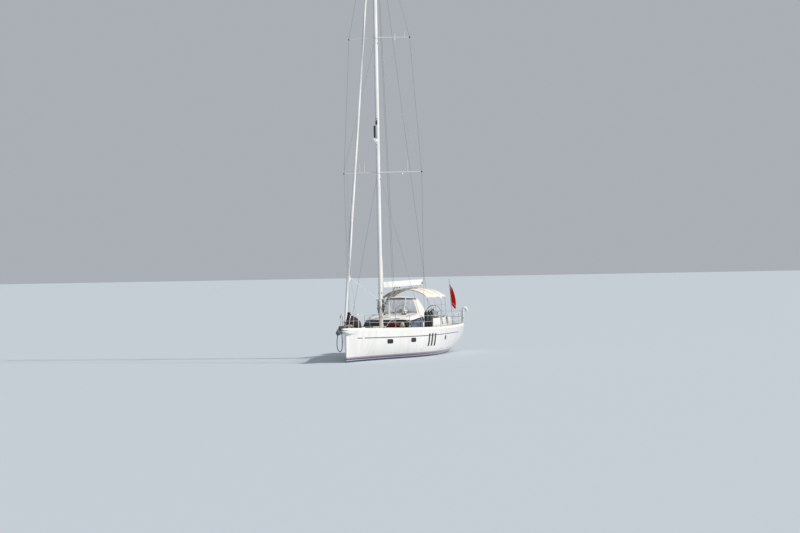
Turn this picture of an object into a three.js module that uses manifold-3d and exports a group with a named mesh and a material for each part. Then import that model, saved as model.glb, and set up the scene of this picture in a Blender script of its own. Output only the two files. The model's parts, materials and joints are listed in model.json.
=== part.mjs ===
// A cruising sailing yacht, 16.5 m long, with a raised saloon, twin wheels, a furled genoa and a mainsail
// that furls inside the mast.
// Millimetres. X runs forward from midships, Y to port and Z up; the origin is on the centreline at the
// waterline.
import * as THREE from 'three';
import { mergeVertices } from 'three/addons/utils/BufferGeometryUtils.js';
import Module from 'manifold-3d';

const wasm = await Module();
wasm.setup();

// Driving dimensions
const gap = 0.3; // between pieces that touch
const deckThickness = 60;
const deckCamber = 90;
const wellSole = 1250; // cockpit sole at the wheels
const coamingTop = 1960;
const mastX = 1870;
const mastTop = 24150;
const mastLength = 300; // fore and aft
const mastWidth = 190;
const boomUnderside = 3720;
const boomSwing = THREE.MathUtils.degToRad(3.5); // to port, as it lies
const railHeight = 690;

// Hull lines: a short table of stations, from the transom to the stem.
const stationColumns = ['x', 'keel', 'sheer', 'half', 'bilge', 'flat'];
const stationRows = [
  [-8250, 40, 1520, 1900, 2.0, 0.36],
  [-7000, -150, 1500, 2120, 2.2, 0.4],
  [-5000, -400, 1485, 2330, 3.0, 0.5],
  [-2500, -600, 1485, 2430, 4.4, 0.66],
  [0, -680, 1505, 2390, 5.0, 0.74],
  [2500, -620, 1550, 1960, 3.8, 0.76],
  [5000, -440, 1610, 1210, 2.8, 0.74],
  [6800, -260, 1665, 590, 2.2, 0.74],
  [7700, -170, 1692, 275, 2.0, 0.8],
  [8130, -110, 1705, 45, 1.8, 0.9],
];
const stations = stationRows.map((row) => Object.fromEntries(row.map((n, i) => [stationColumns[i], n])));
const sternX = stations[0].x;
const stemX = stations.at(-1).x;

// Smooth value of every column at x, by cubic pieces between the stations.
function linesAt(x) {
  const last = stations.length - 1;
  const i = Math.min(Math.max(stations.findIndex((s) => s.x > x) - 1, 0), last - 1);
  const k = x >= stations[last].x ? last - 1 : i;
  const [a, b] = [stations[k], stations[k + 1]];
  const span = b.x - a.x;
  const t = Math.min(Math.max((x - a.x) / span, 0), 1);
  const slope = (j, name) => {
    const [lo, hi] = [stations[Math.max(j - 1, 0)], stations[Math.min(j + 1, last)]];
    return (hi[name] - lo[name]) / (hi.x - lo.x);
  };
  const value = {};
  for (const name of stationColumns.slice(1)) {
    const [h00, h10] = [2 * t ** 3 - 3 * t ** 2 + 1, t ** 3 - 2 * t ** 2 + t];
    const [h01, h11] = [3 * t ** 2 - 2 * t ** 3, t ** 3 - t ** 2];
    const rise = h10 * slope(k, name) + h11 * slope(k + 1, name);
    value[name] = h00 * a[name] + h01 * b[name] + span * rise;
  }
  return value;
}

// The transom leans forward as it rises, and the stem leans forward a little too.
const transomLean = 230;
const stemLean = 90;
function leanAt(x, z) {
  const aft = THREE.MathUtils.smoothstep(-x, 6500, -sternX) * transomLean;
  const forward = THREE.MathUtils.smoothstep(x, 6500, stemX) * stemLean;
  return (aft + forward) * (z / 1500);
}

// Half breadth of the hull at a share u of the height from keel to sheer.
function halfBreadth(line, u) {
  return line.half * (1 - (1 - u) ** line.bilge) ** line.flat;
}

// Shapes
const vec = (x, y, z) => new THREE.Vector3(x, y, z);

function solidOf(geometry) {
  const loose = geometry.index ? geometry.toNonIndexed() : geometry.clone();
  for (const name of Object.keys(loose.attributes)) if (name !== 'position') loose.deleteAttribute(name);
  const merged = mergeVertices(loose, 1e-3);
  const solid = new wasm.Manifold(
    new wasm.Mesh({
      numProp: 3,
      vertProperties: merged.attributes.position.array,
      triVerts: new Uint32Array(merged.index.array),
    }),
  );
  return solid;
}

function geometryOf(solid) {
  const mesh = solid.getMesh();
  const positions = new Float32Array(mesh.numVert * 3);
  for (let i = 0; i < mesh.numVert; i++) {
    positions.set(mesh.vertProperties.subarray(i * mesh.numProp, i * mesh.numProp + 3), i * 3);
  }
  const geometry = new THREE.BufferGeometry();
  geometry.setAttribute('position', new THREE.BufferAttribute(positions, 3));
  geometry.setIndex(new THREE.BufferAttribute(mesh.triVerts, 1));
  return geometry;
}

const join = (...solids) => solids.flat(Infinity).reduce((a, b) => a.add(b));
const cut = (solid, ...tools) => tools.flat(Infinity).reduce((a, b) => a.subtract(b), solid);

// A skin through closed rings of points, with both ends closed.
function loft(rings) {
  const positions = [];
  const triangle = (a, b, c) => positions.push(a.x, a.y, a.z, b.x, b.y, b.z, c.x, c.y, c.z);
  const count = rings[0].length;
  for (let i = 0; i < rings.length - 1; i++) {
    for (let j = 0; j < count; j++) {
      const [a, b] = [rings[i][j], rings[i][(j + 1) % count]];
      const [c, d] = [rings[i + 1][j], rings[i + 1][(j + 1) % count]];
      triangle(a, b, d);
      triangle(a, d, c);
    }
  }
  capOf(rings[0]).forEach(([a, b, c]) => triangle(rings[0][c], rings[0][b], rings[0][a]));
  capOf(rings.at(-1)).forEach(([a, b, c]) => triangle(rings.at(-1)[a], rings.at(-1)[b], rings.at(-1)[c]));
  const geometry = new THREE.BufferGeometry();
  geometry.setAttribute('position', new THREE.BufferAttribute(new Float32Array(positions), 3));
  return outward(geometry);
}

// Triangles that fill a ring, running the way the ring does.
function capOf(ring) {
  const normal = vec(0, 0, 0);
  ring.forEach((p, i) => normal.add(p.clone().cross(ring[(i + 1) % ring.length])));
  const across = ['x', 'y', 'z'].reduce((a, b) => (Math.abs(normal[b]) > Math.abs(normal[a]) ? b : a));
  const [p, q] = ['x', 'y', 'z'].filter((name) => name !== across);
  const faces = THREE.ShapeUtils.triangulateShape(ring.map((r) => new THREE.Vector2(r[p], r[q])), []);
  const follows = (a, b) => b === (a + 1) % ring.length;
  const forward = faces.some(([a, b, c]) => follows(a, b) || follows(b, c) || follows(c, a));
  return forward ? faces : faces.map(([a, b, c]) => [a, c, b]);
}

// The solid of a skin, turned round if its faces point inwards.
function outward(geometry) {
  const turned = geometry.clone();
  const p = turned.attributes.position;
  let volume = 0;
  const [a, b, c] = [vec(0, 0, 0), vec(0, 0, 0), vec(0, 0, 0)];
  for (let i = 0; i < p.count; i += 3) {
    a.fromBufferAttribute(p, i);
    b.fromBufferAttribute(p, i + 1);
    c.fromBufferAttribute(p, i + 2);
    volume += a.dot(b.cross(c));
  }
  if (volume < 0) {
    for (let i = 0; i < p.count; i += 3) {
      a.fromBufferAttribute(p, i + 1);
      b.fromBufferAttribute(p, i + 2);
      p.setXYZ(i + 1, b.x, b.y, b.z);
      p.setXYZ(i + 2, a.x, a.y, a.z);
    }
  }
  return solidOf(turned);
}

function box(x0, x1, y0, y1, z0, z1) {
  const geometry = new THREE.BoxGeometry(x1 - x0, y1 - y0, z1 - z0);
  return solidOf(geometry.translate((x0 + x1) / 2, (y0 + y1) / 2, (z0 + z1) / 2));
}

// A flat outline of [a, b] pairs given a thickness: 'y' turns an x-z outline sideways, 'z' stands an x-y
// outline up.
function slab(outline, from, to, axis = 'z') {
  const shape = new THREE.Shape(outline.map(([a, b]) => new THREE.Vector2(a, b)));
  const geometry = new THREE.ExtrudeGeometry(shape, { depth: to - from, bevelEnabled: false });
  if (axis === 'y') geometry.rotateX(Math.PI / 2).translate(0, to, 0);
  else if (axis === 'x') geometry.rotateX(Math.PI / 2).rotateZ(Math.PI / 2).translate(from, 0, 0);
  else geometry.translate(0, 0, from);
  return solidOf(geometry);
}

// A round bar between two points, thicker or thinner at its ends.
function bar(from, to, radius, sides = 8, endRadius = radius) {
  const along = to.clone().sub(from);
  const geometry = new THREE.CylinderGeometry(endRadius, radius, along.length(), sides);
  geometry.translate(0, along.length() / 2, 0);
  geometry.applyQuaternion(new THREE.Quaternion().setFromUnitVectors(vec(0, 1, 0), along.normalize()));
  return solidOf(geometry.translate(from.x, from.y, from.z));
}

const ball = (at, radius, sides = 8) =>
  solidOf(new THREE.SphereGeometry(radius, sides, Math.max(4, sides - 2)).translate(at.x, at.y, at.z));

// A tube bent through points.
function tube(points, radius, steps = 12, sides = 6) {
  const ring = Array.from({ length: sides }, (_, i) => {
    const turn = (i / sides) * 2 * Math.PI;
    return new THREE.Vector2(radius * Math.cos(turn), radius * Math.sin(turn));
  });
  const path = new THREE.CatmullRomCurve3(points, false, 'centripetal');
  const sweep = { steps, bevelEnabled: false, extrudePath: path };
  return solidOf(new THREE.ExtrudeGeometry(new THREE.Shape(ring), sweep));
}

// A tube of straight lengths, mitred at each corner.
function frame(points, radius, sides = 6) {
  const aims = points.slice(1).map((p, i) => p.clone().sub(points[i]).normalize());
  const start = aims[0];
  const across = vec(0, 0, 1).addScaledVector(start, -start.z);
  if (across.length() < 0.3) across.set(1, 0, 0).addScaledVector(start, -start.x);
  across.normalize();
  const third = start.clone().cross(across);
  const ring = Array.from({ length: sides }, (_, i) => {
    const turn = ((i + 0.5) / sides) * 2 * Math.PI;
    const out = across.clone().multiplyScalar(radius * Math.cos(turn));
    return points[0].clone().add(out.addScaledVector(third, radius * Math.sin(turn)));
  });
  const rings = [ring];
  points.slice(1).forEach((p, i) => {
    const plane = aims[i].clone().add(aims[i + 1] ?? aims[i]).normalize();
    const reach = (q) => p.clone().sub(q).dot(plane) / aims[i].dot(plane);
    rings.push(rings.at(-1).map((q) => q.clone().addScaledVector(aims[i], reach(q))));
  });
  return loft(rings);
}

const upTo = (aim) => new THREE.Quaternion().setFromUnitVectors(vec(0, 1, 0), aim.clone().normalize());

// A turned shape: [radius, height] pairs from end to end, stood on a point and aimed along a direction.
function turned(profile, at, aim = vec(0, 0, 1), sides = 12) {
  const closed = [[0, profile[0][1]], ...profile, [0, profile.at(-1)[1]]];
  const geometry = new THREE.LatheGeometry(closed.map(([r, h]) => new THREE.Vector2(r, h)), sides);
  geometry.applyQuaternion(upTo(aim));
  geometry.translate(at.x, at.y, at.z);
  const solid = solidOf(geometry);
  return solid.volume() < 0 ? outward(geometry.index ? geometry.toNonIndexed() : geometry) : solid;
}

// Finishes
const finish = (color, roughness, metalness = 0) =>
  new THREE.MeshStandardMaterial({ color, roughness, metalness });
const finishes = {
  gelcoat: finish('#f2efe9', 0.25),
  alloy: finish('#f1f0ee', 0.35),
  steel: finish('#c9ccce', 0.2, 1),
  teak: finish('#a37a4f', 0.8),
  glass: finish('#0d1116', 0.05),
  lead: finish('#20395a', 0.6),
  canvas: finish('#e9e2d2', 0.9),
  sailcloth: finish('#f0eeea', 0.8),
  rubber: finish('#101318', 0.7),
  flag: finish('#d01818', 0.9),
  brown: finish('#3e2722', 0.9),
  bronze: finish('#8b6b3a', 0.4, 1),
  plastic: finish('#f4f4f2', 0.4),
};

const yacht = new THREE.Group();
function add(name, solid, material) {
  const mesh = new THREE.Mesh(geometryOf(solid), finishes[material]);
  mesh.name = name;
  yacht.add(mesh);
  return solid;
}

// Hull, with its wells for the cockpit and the saloon
const girthPoints = 11;
const stationCount = 26;
const deckStations = Array.from({ length: stationCount }, (_, i) => {
  const t = i / (stationCount - 1);
  return sternX + (stemX - sternX) * (0.5 - 0.5 * Math.cos(Math.PI * (0.12 + 0.88 * t)) - 0.035) / 0.965;
});
deckStations[0] = sternX;
deckStations[stationCount - 1] = stemX;

function hullRing(x) {
  const line = linesAt(x);
  const top = line.sheer - deckThickness - gap;
  const side = Array.from({ length: girthPoints }, (_, i) => {
    const u = ((i / (girthPoints - 1)) ** 1.7 * (top - line.keel)) / (line.sheer - line.keel);
    const z = line.keel + u * (line.sheer - line.keel);
    return vec(x + leanAt(x, z), i === 0 ? 0 : halfBreadth(line, u), z);
  });
  return [...side, ...side.slice(1).reverse().map((p) => vec(p.x, -p.y, p.z))];
}

// The stem flares out at the top into a blunt beak.
const noseFrom = 6900;
const noseKnuckle = 8150;
const noseShoulder = 8400;
const noseTo = 8740;
const noseHalf = 235;
const noseRise = 62;
function noseWidth(x) {
  const round = (x - noseShoulder) / (noseTo - noseShoulder);
  if (round > 0) return noseHalf * Math.sqrt(1 - round ** 2);
  const along = Math.min((x - noseFrom) / (noseKnuckle - noseFrom), 1);
  return linesAt(noseFrom).half * (1 - along) + noseHalf * along;
}
function nose(below, above, tuck = 0, grow = 0) {
  const places = [noseFrom - grow, 7300, 7700, noseKnuckle, noseShoulder, 8560, 8670, noseTo - 8 + grow];
  return loft(
    places.map((x) => {
      const sheer = linesAt(x).sheer;
      const half = noseWidth(x - grow) + grow;
      const low = sheer + below * (1 - 0.45 * THREE.MathUtils.smoothstep(x, noseKnuckle, noseTo));
      const high = sheer + above;
      return [vec(x, half - tuck, low), vec(x, half, high), vec(x, -half, high), vec(x, tuck - half, low)];
    }),
  );
}

const saloonWell = { from: -2410, to: 1050, half: 1120, floor: 100 };
const cockpitWell = { from: -6020, to: -2400, half: 1420, floor: 1090 };
const wellTool = (well, floor, inset = 0) =>
  box(well.from + inset, well.to - inset, inset - well.half, well.half - inset, floor, 3000);
const hatchColumns = ['name', 'x', 'y', 'length', 'width', 'depth', 'finish'];
const hatches = [
  ['fore_hatch', 4650, 0, 620, 620, 600, 'glass'],
  ['anchor_locker_lid', 6000, 0, 640, 560, 420, 'gelcoat'],
  ['aft_hatch', -6560, 0, 500, 560, 420, 'glass'],
  ['lazarette_lid_port', -7250, 900, 560, 800, 460, 'gelcoat'],
  ['lazarette_lid_starboard', -7250, -900, 560, 800, 460, 'gelcoat'],
].map((row) => Object.fromEntries(row.map((n, i) => [hatchColumns[i], n])));
const hatchLip = 45;
function hatchTool(h, depth) {
  const [reach, side] = [h.length / 2 - hatchLip, h.width / 2 - hatchLip];
  return box(h.x - reach, h.x + reach, h.y - side, h.y + side, linesAt(h.x).sheer - depth, 3000);
}
const rudderX = -6750;
const stockRadius = 45;
const stockTop = -60;
const stockBore = bar(vec(rudderX, 0, -600), vec(rudderX, 0, stockTop + gap), stockRadius + 8, 16);

// Feet for the bathing ladder on the transom, below its hinge pin
const ladderHinge = vec(-8250, 0, 330);
const ladderHalf = 180;
const ladderFeet = [-1, 1].map((side) => {
  const inner = side * (ladderHalf + 36);
  const [low, high] = [inner, inner + side * 34].sort((a, b) => a - b);
  return box(ladderHinge.x - 26, ladderHinge.x + 120, low, high, ladderHinge.z - 30, ladderHinge.z + 30);
});

const hullRough = join(loft(deckStations.map(hullRing)), nose(-230, -deckThickness - gap, 25), ladderFeet);
const wideRing = (x) => {
  const { sheer } = linesAt(x);
  const [at, low] = [x + leanAt(x, sheer), sheer - deckThickness - gap];
  return [vec(at, -4000, low), vec(at, 4000, low), vec(at, 4000, 4000), vec(at, -4000, 4000)];
};
const hullBody = cut(hullRough, loft(deckStations.map(wideRing)), nose(-deckThickness - gap, 900));
const hullWells = [wellTool(saloonWell, saloonWell.floor), wellTool(cockpitWell, cockpitWell.floor)];
add('hull', cut(hullBody, hullWells, hatches.map((h) => hatchTool(h, h.depth)), stockBore), 'gelcoat');

// Deck
const camberShares = [1, 0.75, 0.4, 0, -0.4, -0.75, -1];
const camberAt = (line) => deckCamber * Math.min(1, line.half / 1200);
function deckRing(x, bottom, grow = 0) {
  const line = linesAt(x);
  const lean = leanAt(x, line.sheer);
  const low = line.sheer - deckThickness;
  const lowHalf = halfBreadth(line, (low - line.keel) / (line.sheer - line.keel));
  const crown = (s) => line.sheer + camberAt(line) * (1 - s * s) + grow;
  const top = camberShares.map((s) => vec(x + lean, s * line.half, crown(s)));
  return [vec(x + lean, -lowHalf, bottom ?? low), vec(x + lean, lowHalf, bottom ?? low), ...top];
}
const deckTopAt = (x, y) => linesAt(x).sheer + camberAt(linesAt(x)) * (1 - (y / linesAt(x).half) ** 2);
// all that lies below the deck's surface, for cutting the foot of whatever stands on it
const underDeck = join(
  loft(deckStations.map((x) => deckRing(x, -200, gap))),
  nose(-600, noseRise + gap, 0, gap),
);
const deckBody = join(loft(deckStations.map((x) => deckRing(x))), nose(-deckThickness, noseRise));
const deckWells = [saloonWell, cockpitWell].map((well) => wellTool(well, 1000));
add('deck', cut(deckBody, deckWells, hatches.map((h) => hatchTool(h, 300))), 'teak');
const onDeck = (...solids) => cut(join(solids), underDeck);

const lidRise = 36; // above the deck
for (const h of hatches) {
  const [reach, side] = [h.length / 2, h.width / 2];
  const innerEdge = Math.max(Math.abs(h.y) - side, 0);
  const top = Math.max(deckTopAt(h.x - reach, innerEdge), deckTopAt(h.x + reach, innerEdge)) + lidRise;
  add(h.name, onDeck(box(h.x - reach, h.x + reach, h.y - side, h.y + side, 1300, top)), h.finish);
}

// Keel, rudder, shaft and propeller
function foil(chord, thick, count = 7) {
  const upper = Array.from({ length: count }, (_, i) => {
    const t = (1 - Math.cos((Math.PI * i) / (count - 1))) / 2;
    const round = 0.2969 * Math.sqrt(t) - 0.126 * t - 0.3516 * t ** 2 + 0.2843 * t ** 3 - 0.1036 * t ** 4;
    return [-t * chord, 5 * thick * chord * round];
  });
  return [...upper, ...upper.slice(1, -1).reverse().map(([x, y]) => [x, -y])];
}
// each level: the leading edge's x, the chord and z
const fin = (levels, thick) =>
  loft(levels.map(([lead, chord, z]) => foil(chord, thick).map(([x, y]) => vec(lead + x, y, z))));
const hullBelow = loft(deckStations.map((x) => hullRing(x).map((p) => vec(p.x, p.y, p.z - gap))));
const keelBase = -2400;
const bulbRise = 108;
const bulbSections = [
  [1450, 20, 25], [1200, 150, 110], [650, 240, 160], [-100, 250, 165], [-900, 160, 120], [-1500, 25, 40],
];
const bulb = loft(
  bulbSections.map(([x, half, tall]) =>
    Array.from({ length: 12 }, (_, i) => {
      const turn = (i / 12) * 2 * Math.PI;
      return vec(x, half * Math.cos(turn), Math.max(keelBase, keelBase + bulbRise + tall * Math.sin(turn)));
    }),
  ),
);
const keelFin = fin([[1500, 2750, -400], [1350, 2450, -1000], [950, 1850, -2200]], 0.12);
add('keel', join(cut(keelFin, hullBelow), bulb), 'lead');

const rudderHead = -262;
const rudderBlade = fin([[rudderX + 190, 980, rudderHead], [rudderX + 130, 640, -1950]], 0.14);
const rudderStock = bar(vec(rudderX, 0, rudderHead - 60), vec(rudderX, 0, stockTop), stockRadius, 16);
add('rudder', join(rudderBlade, rudderStock), 'lead');

const propHub = vec(-5720, 0, -760);
const shaftRise = vec(Math.cos(0.12), 0, Math.sin(0.12)); // forward and up
const along = (at, distance) => at.clone().addScaledVector(shaftRise, distance);
const shaftBracket = join(
  bar(propHub, along(propHub, 200), 48, 12),
  bar(along(propHub, 100), along(propHub, 2200), 22, 10),
  fin([[propHub.x + 190, 170, propHub.z], [propHub.x + 210, 190, -200]], 0.2),
);
add('shaft_bracket', cut(shaftBracket, hullBelow), 'bronze');
const propRadius = 255;
const blades = Array.from({ length: 3 }, (_, i) => {
  const blade = new THREE.SphereGeometry(1, 8, 6).scale(16, 78, 118);
  blade.rotateY(-0.2).rotateZ(0.6).translate(-45, 0, propRadius - 118);
  return solidOf(blade.rotateX((i / 3) * 2 * Math.PI).rotateY(-0.12).translate(propHub.x, 0, propHub.z));
});
const hubProfile = [[45, 0], [45, 60], [32, 110], [8, 150]];
const hub = turned(hubProfile, along(propHub, -gap), shaftRise.clone().negate());
add('propeller', join(hub, blades), 'bronze');

// Raised saloon
const coachAft = -2400;
const coachOutline = [
  [1560, 0], [1500, 480], [1350, 930], [1100, 1290], [100, 1430], [-1200, 1490], [coachAft, 1470],
];
const coachRake = 430;
const roofSlope = 0.0629;
const roofCrown = 70;
const roofHeight = (x) => 2290 - roofSlope * (x - coachAft);
function coachRing(z, share, pinch, inset) {
  const port = coachOutline.map(([x, y], i) => {
    const lean = x > 1000 ? coachRake * share : 0;
    const at = [x - lean - (i < 4 ? inset : 0), (y - (y > 0 ? inset : 0)) * (1 - 0.1 * share) * pinch];
    if (x === coachAft) at[0] = x + inset;
    if (pinch < 1 && x > 1000) at[0] -= 260;
    return vec(at[0], at[1], z ?? roofHeight(at[0]));
  });
  return [...port, ...port.slice(1).reverse().map((p) => vec(p.x, -p.y, p.z))];
}
function coach(inset, low = 1300) {
  const raise = (ring, by) => ring.map((p) => vec(p.x, p.y, p.z + by));
  return loft([
    coachRing(low, 0, 1, inset),
    coachRing(1610, 0, 1, inset),
    raise(coachRing(undefined, 0.9, 1, inset), -48 - inset),
    raise(coachRing(undefined, 1, 0.95, inset), -inset),
    raise(coachRing(undefined, 1, 0.55, inset), roofCrown - inset),
  ]);
}
const sideWindow = [[-1750, 1800], [620, 1700], [800, 1780], [640, 1935], [-1450, 2105]];
// an outline that runs anticlockwise, drawn in by a distance
function shrink(points, by) {
  const corners = points.map(([a, b]) => new THREE.Vector2(a, b));
  const inward = corners.map((p, i) => {
    const edge = corners[(i + 1) % corners.length].clone().sub(p).normalize();
    return new THREE.Vector2(-edge.y, edge.x);
  });
  return corners.map((p, i) => {
    const [before, after] = [inward.at(i - 1), inward[i]];
    const move = before.clone().add(after).multiplyScalar(by / (1 + before.dot(after)));
    return [p.x + move.x, p.y + move.y];
  });
}
const sidePane = (side, by) => {
  const [from, to] = side > 0 ? [900, 1700] : [-1700, -900];
  return slab(shrink(sideWindow, by), from, to, 'y');
};
const frontWindow = { half: 1180, low: 1662, high: 1998 };
const frontPane = (by) => {
  const { half, low, high } = frontWindow;
  return box(900, 1800, by - half, half - by, low + by, high - by);
};
const doorWay = { half: 330, sill: 1330, hatchFrom: -1680 };
const coachDoor = join(
  box(-2500, -2300, -doorWay.half, doorWay.half, 1200, 2600),
  box(-2500, doorWay.hatchFrom, -doorWay.half, doorWay.half, 2270, 2600),
);
const coachWindows = [sidePane(1, 0), sidePane(-1, 0), frontPane(0)];
const coachBody = cut(coach(0), coach(45, 900), coachWindows, coachDoor, underDeck);
const coachGlass = cut(coach(8), coach(28, 900));
add('window_front', coachGlass.intersect(frontPane(gap)), 'glass');
add('window_port', coachGlass.intersect(sidePane(1, gap)), 'glass');
add('window_starboard', coachGlass.intersect(sidePane(-1, gap)), 'glass');

const hatchHalf = doorWay.half + 40;
const onRoof = (x0, x1, y0, y1, low, high) => {
  const at = (x, rise) => [x, roofHeight(x) + roofCrown + rise];
  return slab([at(x0, low), at(x1, low), at(x1, high), at(x0, high)], y0, y1, 'y');
};
const slideRails = [-1, 1].map((side) => {
  const [low, high] = [side * (hatchHalf + 8), side * (hatchHalf + 34)].sort((a, b) => a - b);
  return onRoof(-2395, -1010, low, high, -5, 44);
});
add('coachroof', join(coachBody, slideRails), 'gelcoat');
const hatchSlab = onRoof(-2390, doorWay.hatchFrom + 40, -hatchHalf, hatchHalf, gap, 34);
const hatchHandle = onRoof(-2396, -2370, -250, 250, 20, 50);
add('companionway_hatch', join(hatchSlab, hatchHandle), 'gelcoat');

add(
  'companionway_door',
  join(
    box(-2398, -2374, -doorWay.half + 8, doorWay.half - 8, doorWay.sill + 6, roofHeight(-2400) + 60),
    bar(vec(-2396, 60 - doorWay.half, 1900), vec(-2430, 60 - doorWay.half, 1900), 22, 10),
    [1450, 1850, 2250].map((z) => box(-2398, -2380, 300, doorWay.half - gap, z, z + 60)),
  ),
  'teak',
);

// Saloon joinery
add(
  'saloon_fitout',
  join(
    box(-2380, 1020, -1090, 1090, saloonWell.floor + gap, 130),
    box(-1100, 900, 520, 1090, 120, 520),
    box(-1100, 900, 980, 1090, 500, 900),
    box(-1900, 900, -1090, -560, 120, 960),
    box(-600, 500, -40, 300, 760, 800),
    box(-90, -10, 90, 170, 120, 770),
    box(-2390, -2000, -300, 300, 120, 560),
    box(-2390, -2200, -300, 300, 500, 960),
  ),
  'teak',
);

// Cockpit
const helmX = -5000;
const helmY = 930;
const wheelZ = 2190;
const coaming = loft([
  [[-6200, 1690], [-4000, 1740], [-2400 - gap, 1690]],
  [[-6200, 1690], [-4000, 1740], [-2400 - gap, 1690]],
  [[-6150, 1620], [-4000, 1660], [-2400 - gap, 1610]],
].map((outline, level) => {
  const port = outline.map(([x, y]) => vec(x, y, [1100, 1580, coamingTop][level]));
  return [...port, ...port.slice().reverse().map((p) => vec(p.x, -p.y, p.z))];
}));
const cockpitCuts = [
  box(-4350, -2460, -1400, 1400, 1640, 3000), // above the benches
  box(-4350, -2460, -470, 470, 1200, 3000), // between them
  box(-5950, -4350, -1400, 1400, wellSole, 3000), // round the wheels
  box(-6300, -5900, -320, 320, 1700, 3000), // the way aft
  box(-2500, -2300, -doorWay.half - 30, doorWay.half + 30, doorWay.sill, 3000),
];
const helms = [-1, 1].flatMap((side) => {
  const y = side * helmY;
  return [
    box(helmX - 100, helmX + 90, y - 105, y + 105, wellSole - 20, 2000),
    box(helmX - 110, helmX + 150, y - 150, y + 150, 1980, 2120),
    box(helmX - 110, helmX + 60, y - 110, y + 110, 2110, 2290),
    bar(vec(helmX - 90, y, wheelZ), vec(helmX - 160, y, wheelZ), 42, 12),
    box(-5960, -5640, side > 0 ? 330 : -1410, side > 0 ? 1410 : -330, wellSole - 20, 1720),
  ];
});
const deckAround = cut(underDeck, wellTool(cockpitWell, 1000, gap));
const wellLining = box(-6020 + gap, -2400 - gap, gap - 1420, 1420 - gap, 1090 + gap, 1600);
const coamingBody = cut(cut(coaming, box(-7000, 0, -2000, 2000, 900, 1300)), deckAround);
add('cockpit', join(cut(join(coamingBody, wellLining), cockpitCuts), helms), 'gelcoat');

const wheelRadius = 440;
const wheelX = helmX - 195;
const winchProfile = [[78, 0], [78, 24], [60, 40], [52, 90], [62, 118], [62, 138], [30, 150]];
for (const [name, side] of [['port', 1], ['starboard', -1]]) {
  const y = side * helmY;
  const rimShape = new THREE.TorusGeometry(wheelRadius, 15, 6, 20).rotateY(Math.PI / 2);
  const rim = solidOf(rimShape.translate(wheelX, y, wheelZ));
  const spokes = Array.from({ length: 5 }, (_, i) => {
    const turn = (i / 5) * 2 * Math.PI;
    const end = vec(wheelX, y + wheelRadius * Math.sin(turn), wheelZ + wheelRadius * Math.cos(turn));
    return bar(vec(wheelX, y, wheelZ), end, 9, 6);
  });
  const wheelHub = bar(vec(helmX - 160 - gap, y, wheelZ), vec(helmX - 225, y, wheelZ), 48, 12);
  add(`steering_wheel_${name}`, join(rim, spokes, wheelHub), 'steel');
  const [inner, outer] = [side * 500, side * 1310].sort((a, b) => a - b);
  add(`locker_lid_${name}`, box(-4250, -2600, inner, outer, 1640 + gap, 1672), 'teak');
  [-4100, -5250].forEach((x, i) => {
    const winch = turned(winchProfile, vec(x, side * 1515, coamingTop + gap));
    add(`winch_${i ? 'aft' : 'forward'}_${name}`, winch, 'steel');
  });
}

// Sprayhood and bimini
function hoodRing(z, share, inset) {
  const outline = [[-980, 0], [-980, 560], [-1650, 1230], [-2480, 1310]];
  const port = outline.map(([x, y], i) => {
    const back = i < 3 ? share * (i < 2 ? 330 : 165) + inset : -50;
    const half = Math.max(0, (y - (y > 0 ? inset : 0)) * (1 - 0.3 * share));
    return vec(x - back, half, z);
  });
  return [...port, ...port.slice(1).reverse().map((p) => vec(p.x, -p.y, p.z))];
}
const hood = (inset) =>
  loft([
    hoodRing(2100, 0, inset),
    hoodRing(2420, 0.15, inset),
    hoodRing(3090 - inset, 0.85, inset),
    hoodRing(3210 - inset, 1.35, inset),
  ]);
const canvasThickness = 9;
const hoodAft = box(-3000, -2480, -1600, 1600, 1900, 3300);
const coachAbove = join(coach(-gap), onRoof(-2600, -900, -hatchHalf - 40, hatchHalf + 40, -20, 60));
const hoodFoot = box(-3000, -2300, -1600, 1600, 2050, 2120);
add('sprayhood', cut(hood(0), hood(canvasThickness), hoodAft, hoodFoot, coachAbove), 'canvas');

// each section: x, half breadth, edge height and crown height
const biminiSections = [
  [-2620, 1240, 3170, 3560], [-3500, 1440, 3170, 3610], [-4600, 1520, 3170, 3630], [-5620, 1500, 3160, 3590],
];
const canopyArc = (x, half, low, high) =>
  Array.from({ length: 9 }, (_, i) => {
    const t = 1 - i / 4;
    return vec(x, t * half, low + (high - low) * (1 - Math.abs(t) ** 2.6));
  });
const biminiRings = biminiSections.map(([x, half, low, high]) => [
  ...canopyArc(x, half, low, high),
  ...canopyArc(x, half - canvasThickness, low, high - canvasThickness).reverse(),
]);
add('bimini', loft(biminiRings), 'canvas');

const framePipe = 13;
function biminiAt(x) {
  const before = biminiSections.findIndex((row) => row[0] <= x) - 1;
  const i = THREE.MathUtils.clamp(before, 0, biminiSections.length - 2);
  const [from, to] = [biminiSections[i], biminiSections[i + 1]];
  return from.map((value, k) => THREE.MathUtils.mapLinear(x, from[0], to[0], value, to[k]));
}
const hoopDrop = 16; // below the cloth, so that the pipe just clears its steepest part
const biminiHoops = [-2660, -3500, -4600, -5580].map((x) => {
  const [, half, low, high] = biminiAt(x);
  const footing = vec(THREE.MathUtils.clamp(x, -5400, -3300), 1590, coamingTop - 20);
  const arch = canopyArc(x, half - canvasThickness, low - hoopDrop, high - canvasThickness - hoopDrop);
  return [footing, ...arch, footing.clone().setY(-footing.y)];
});
const tieShare = 0.6;
const hoopTies = [-1, 1].map((side) => {
  const legs = biminiHoops.map(([footing, shoulder]) => footing.clone().lerp(shoulder, tieShare));
  return frame(legs.map((p) => vec(p.x, side * p.y, p.z)), 9);
});
const coamingGrown = coaming.translate([0, 0, gap]);
const hoops = biminiHoops.map((hoop) => frame(hoop, framePipe));
add('bimini_frame', cut(join(hoops, hoopTies), coamingGrown), 'steel');

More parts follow.
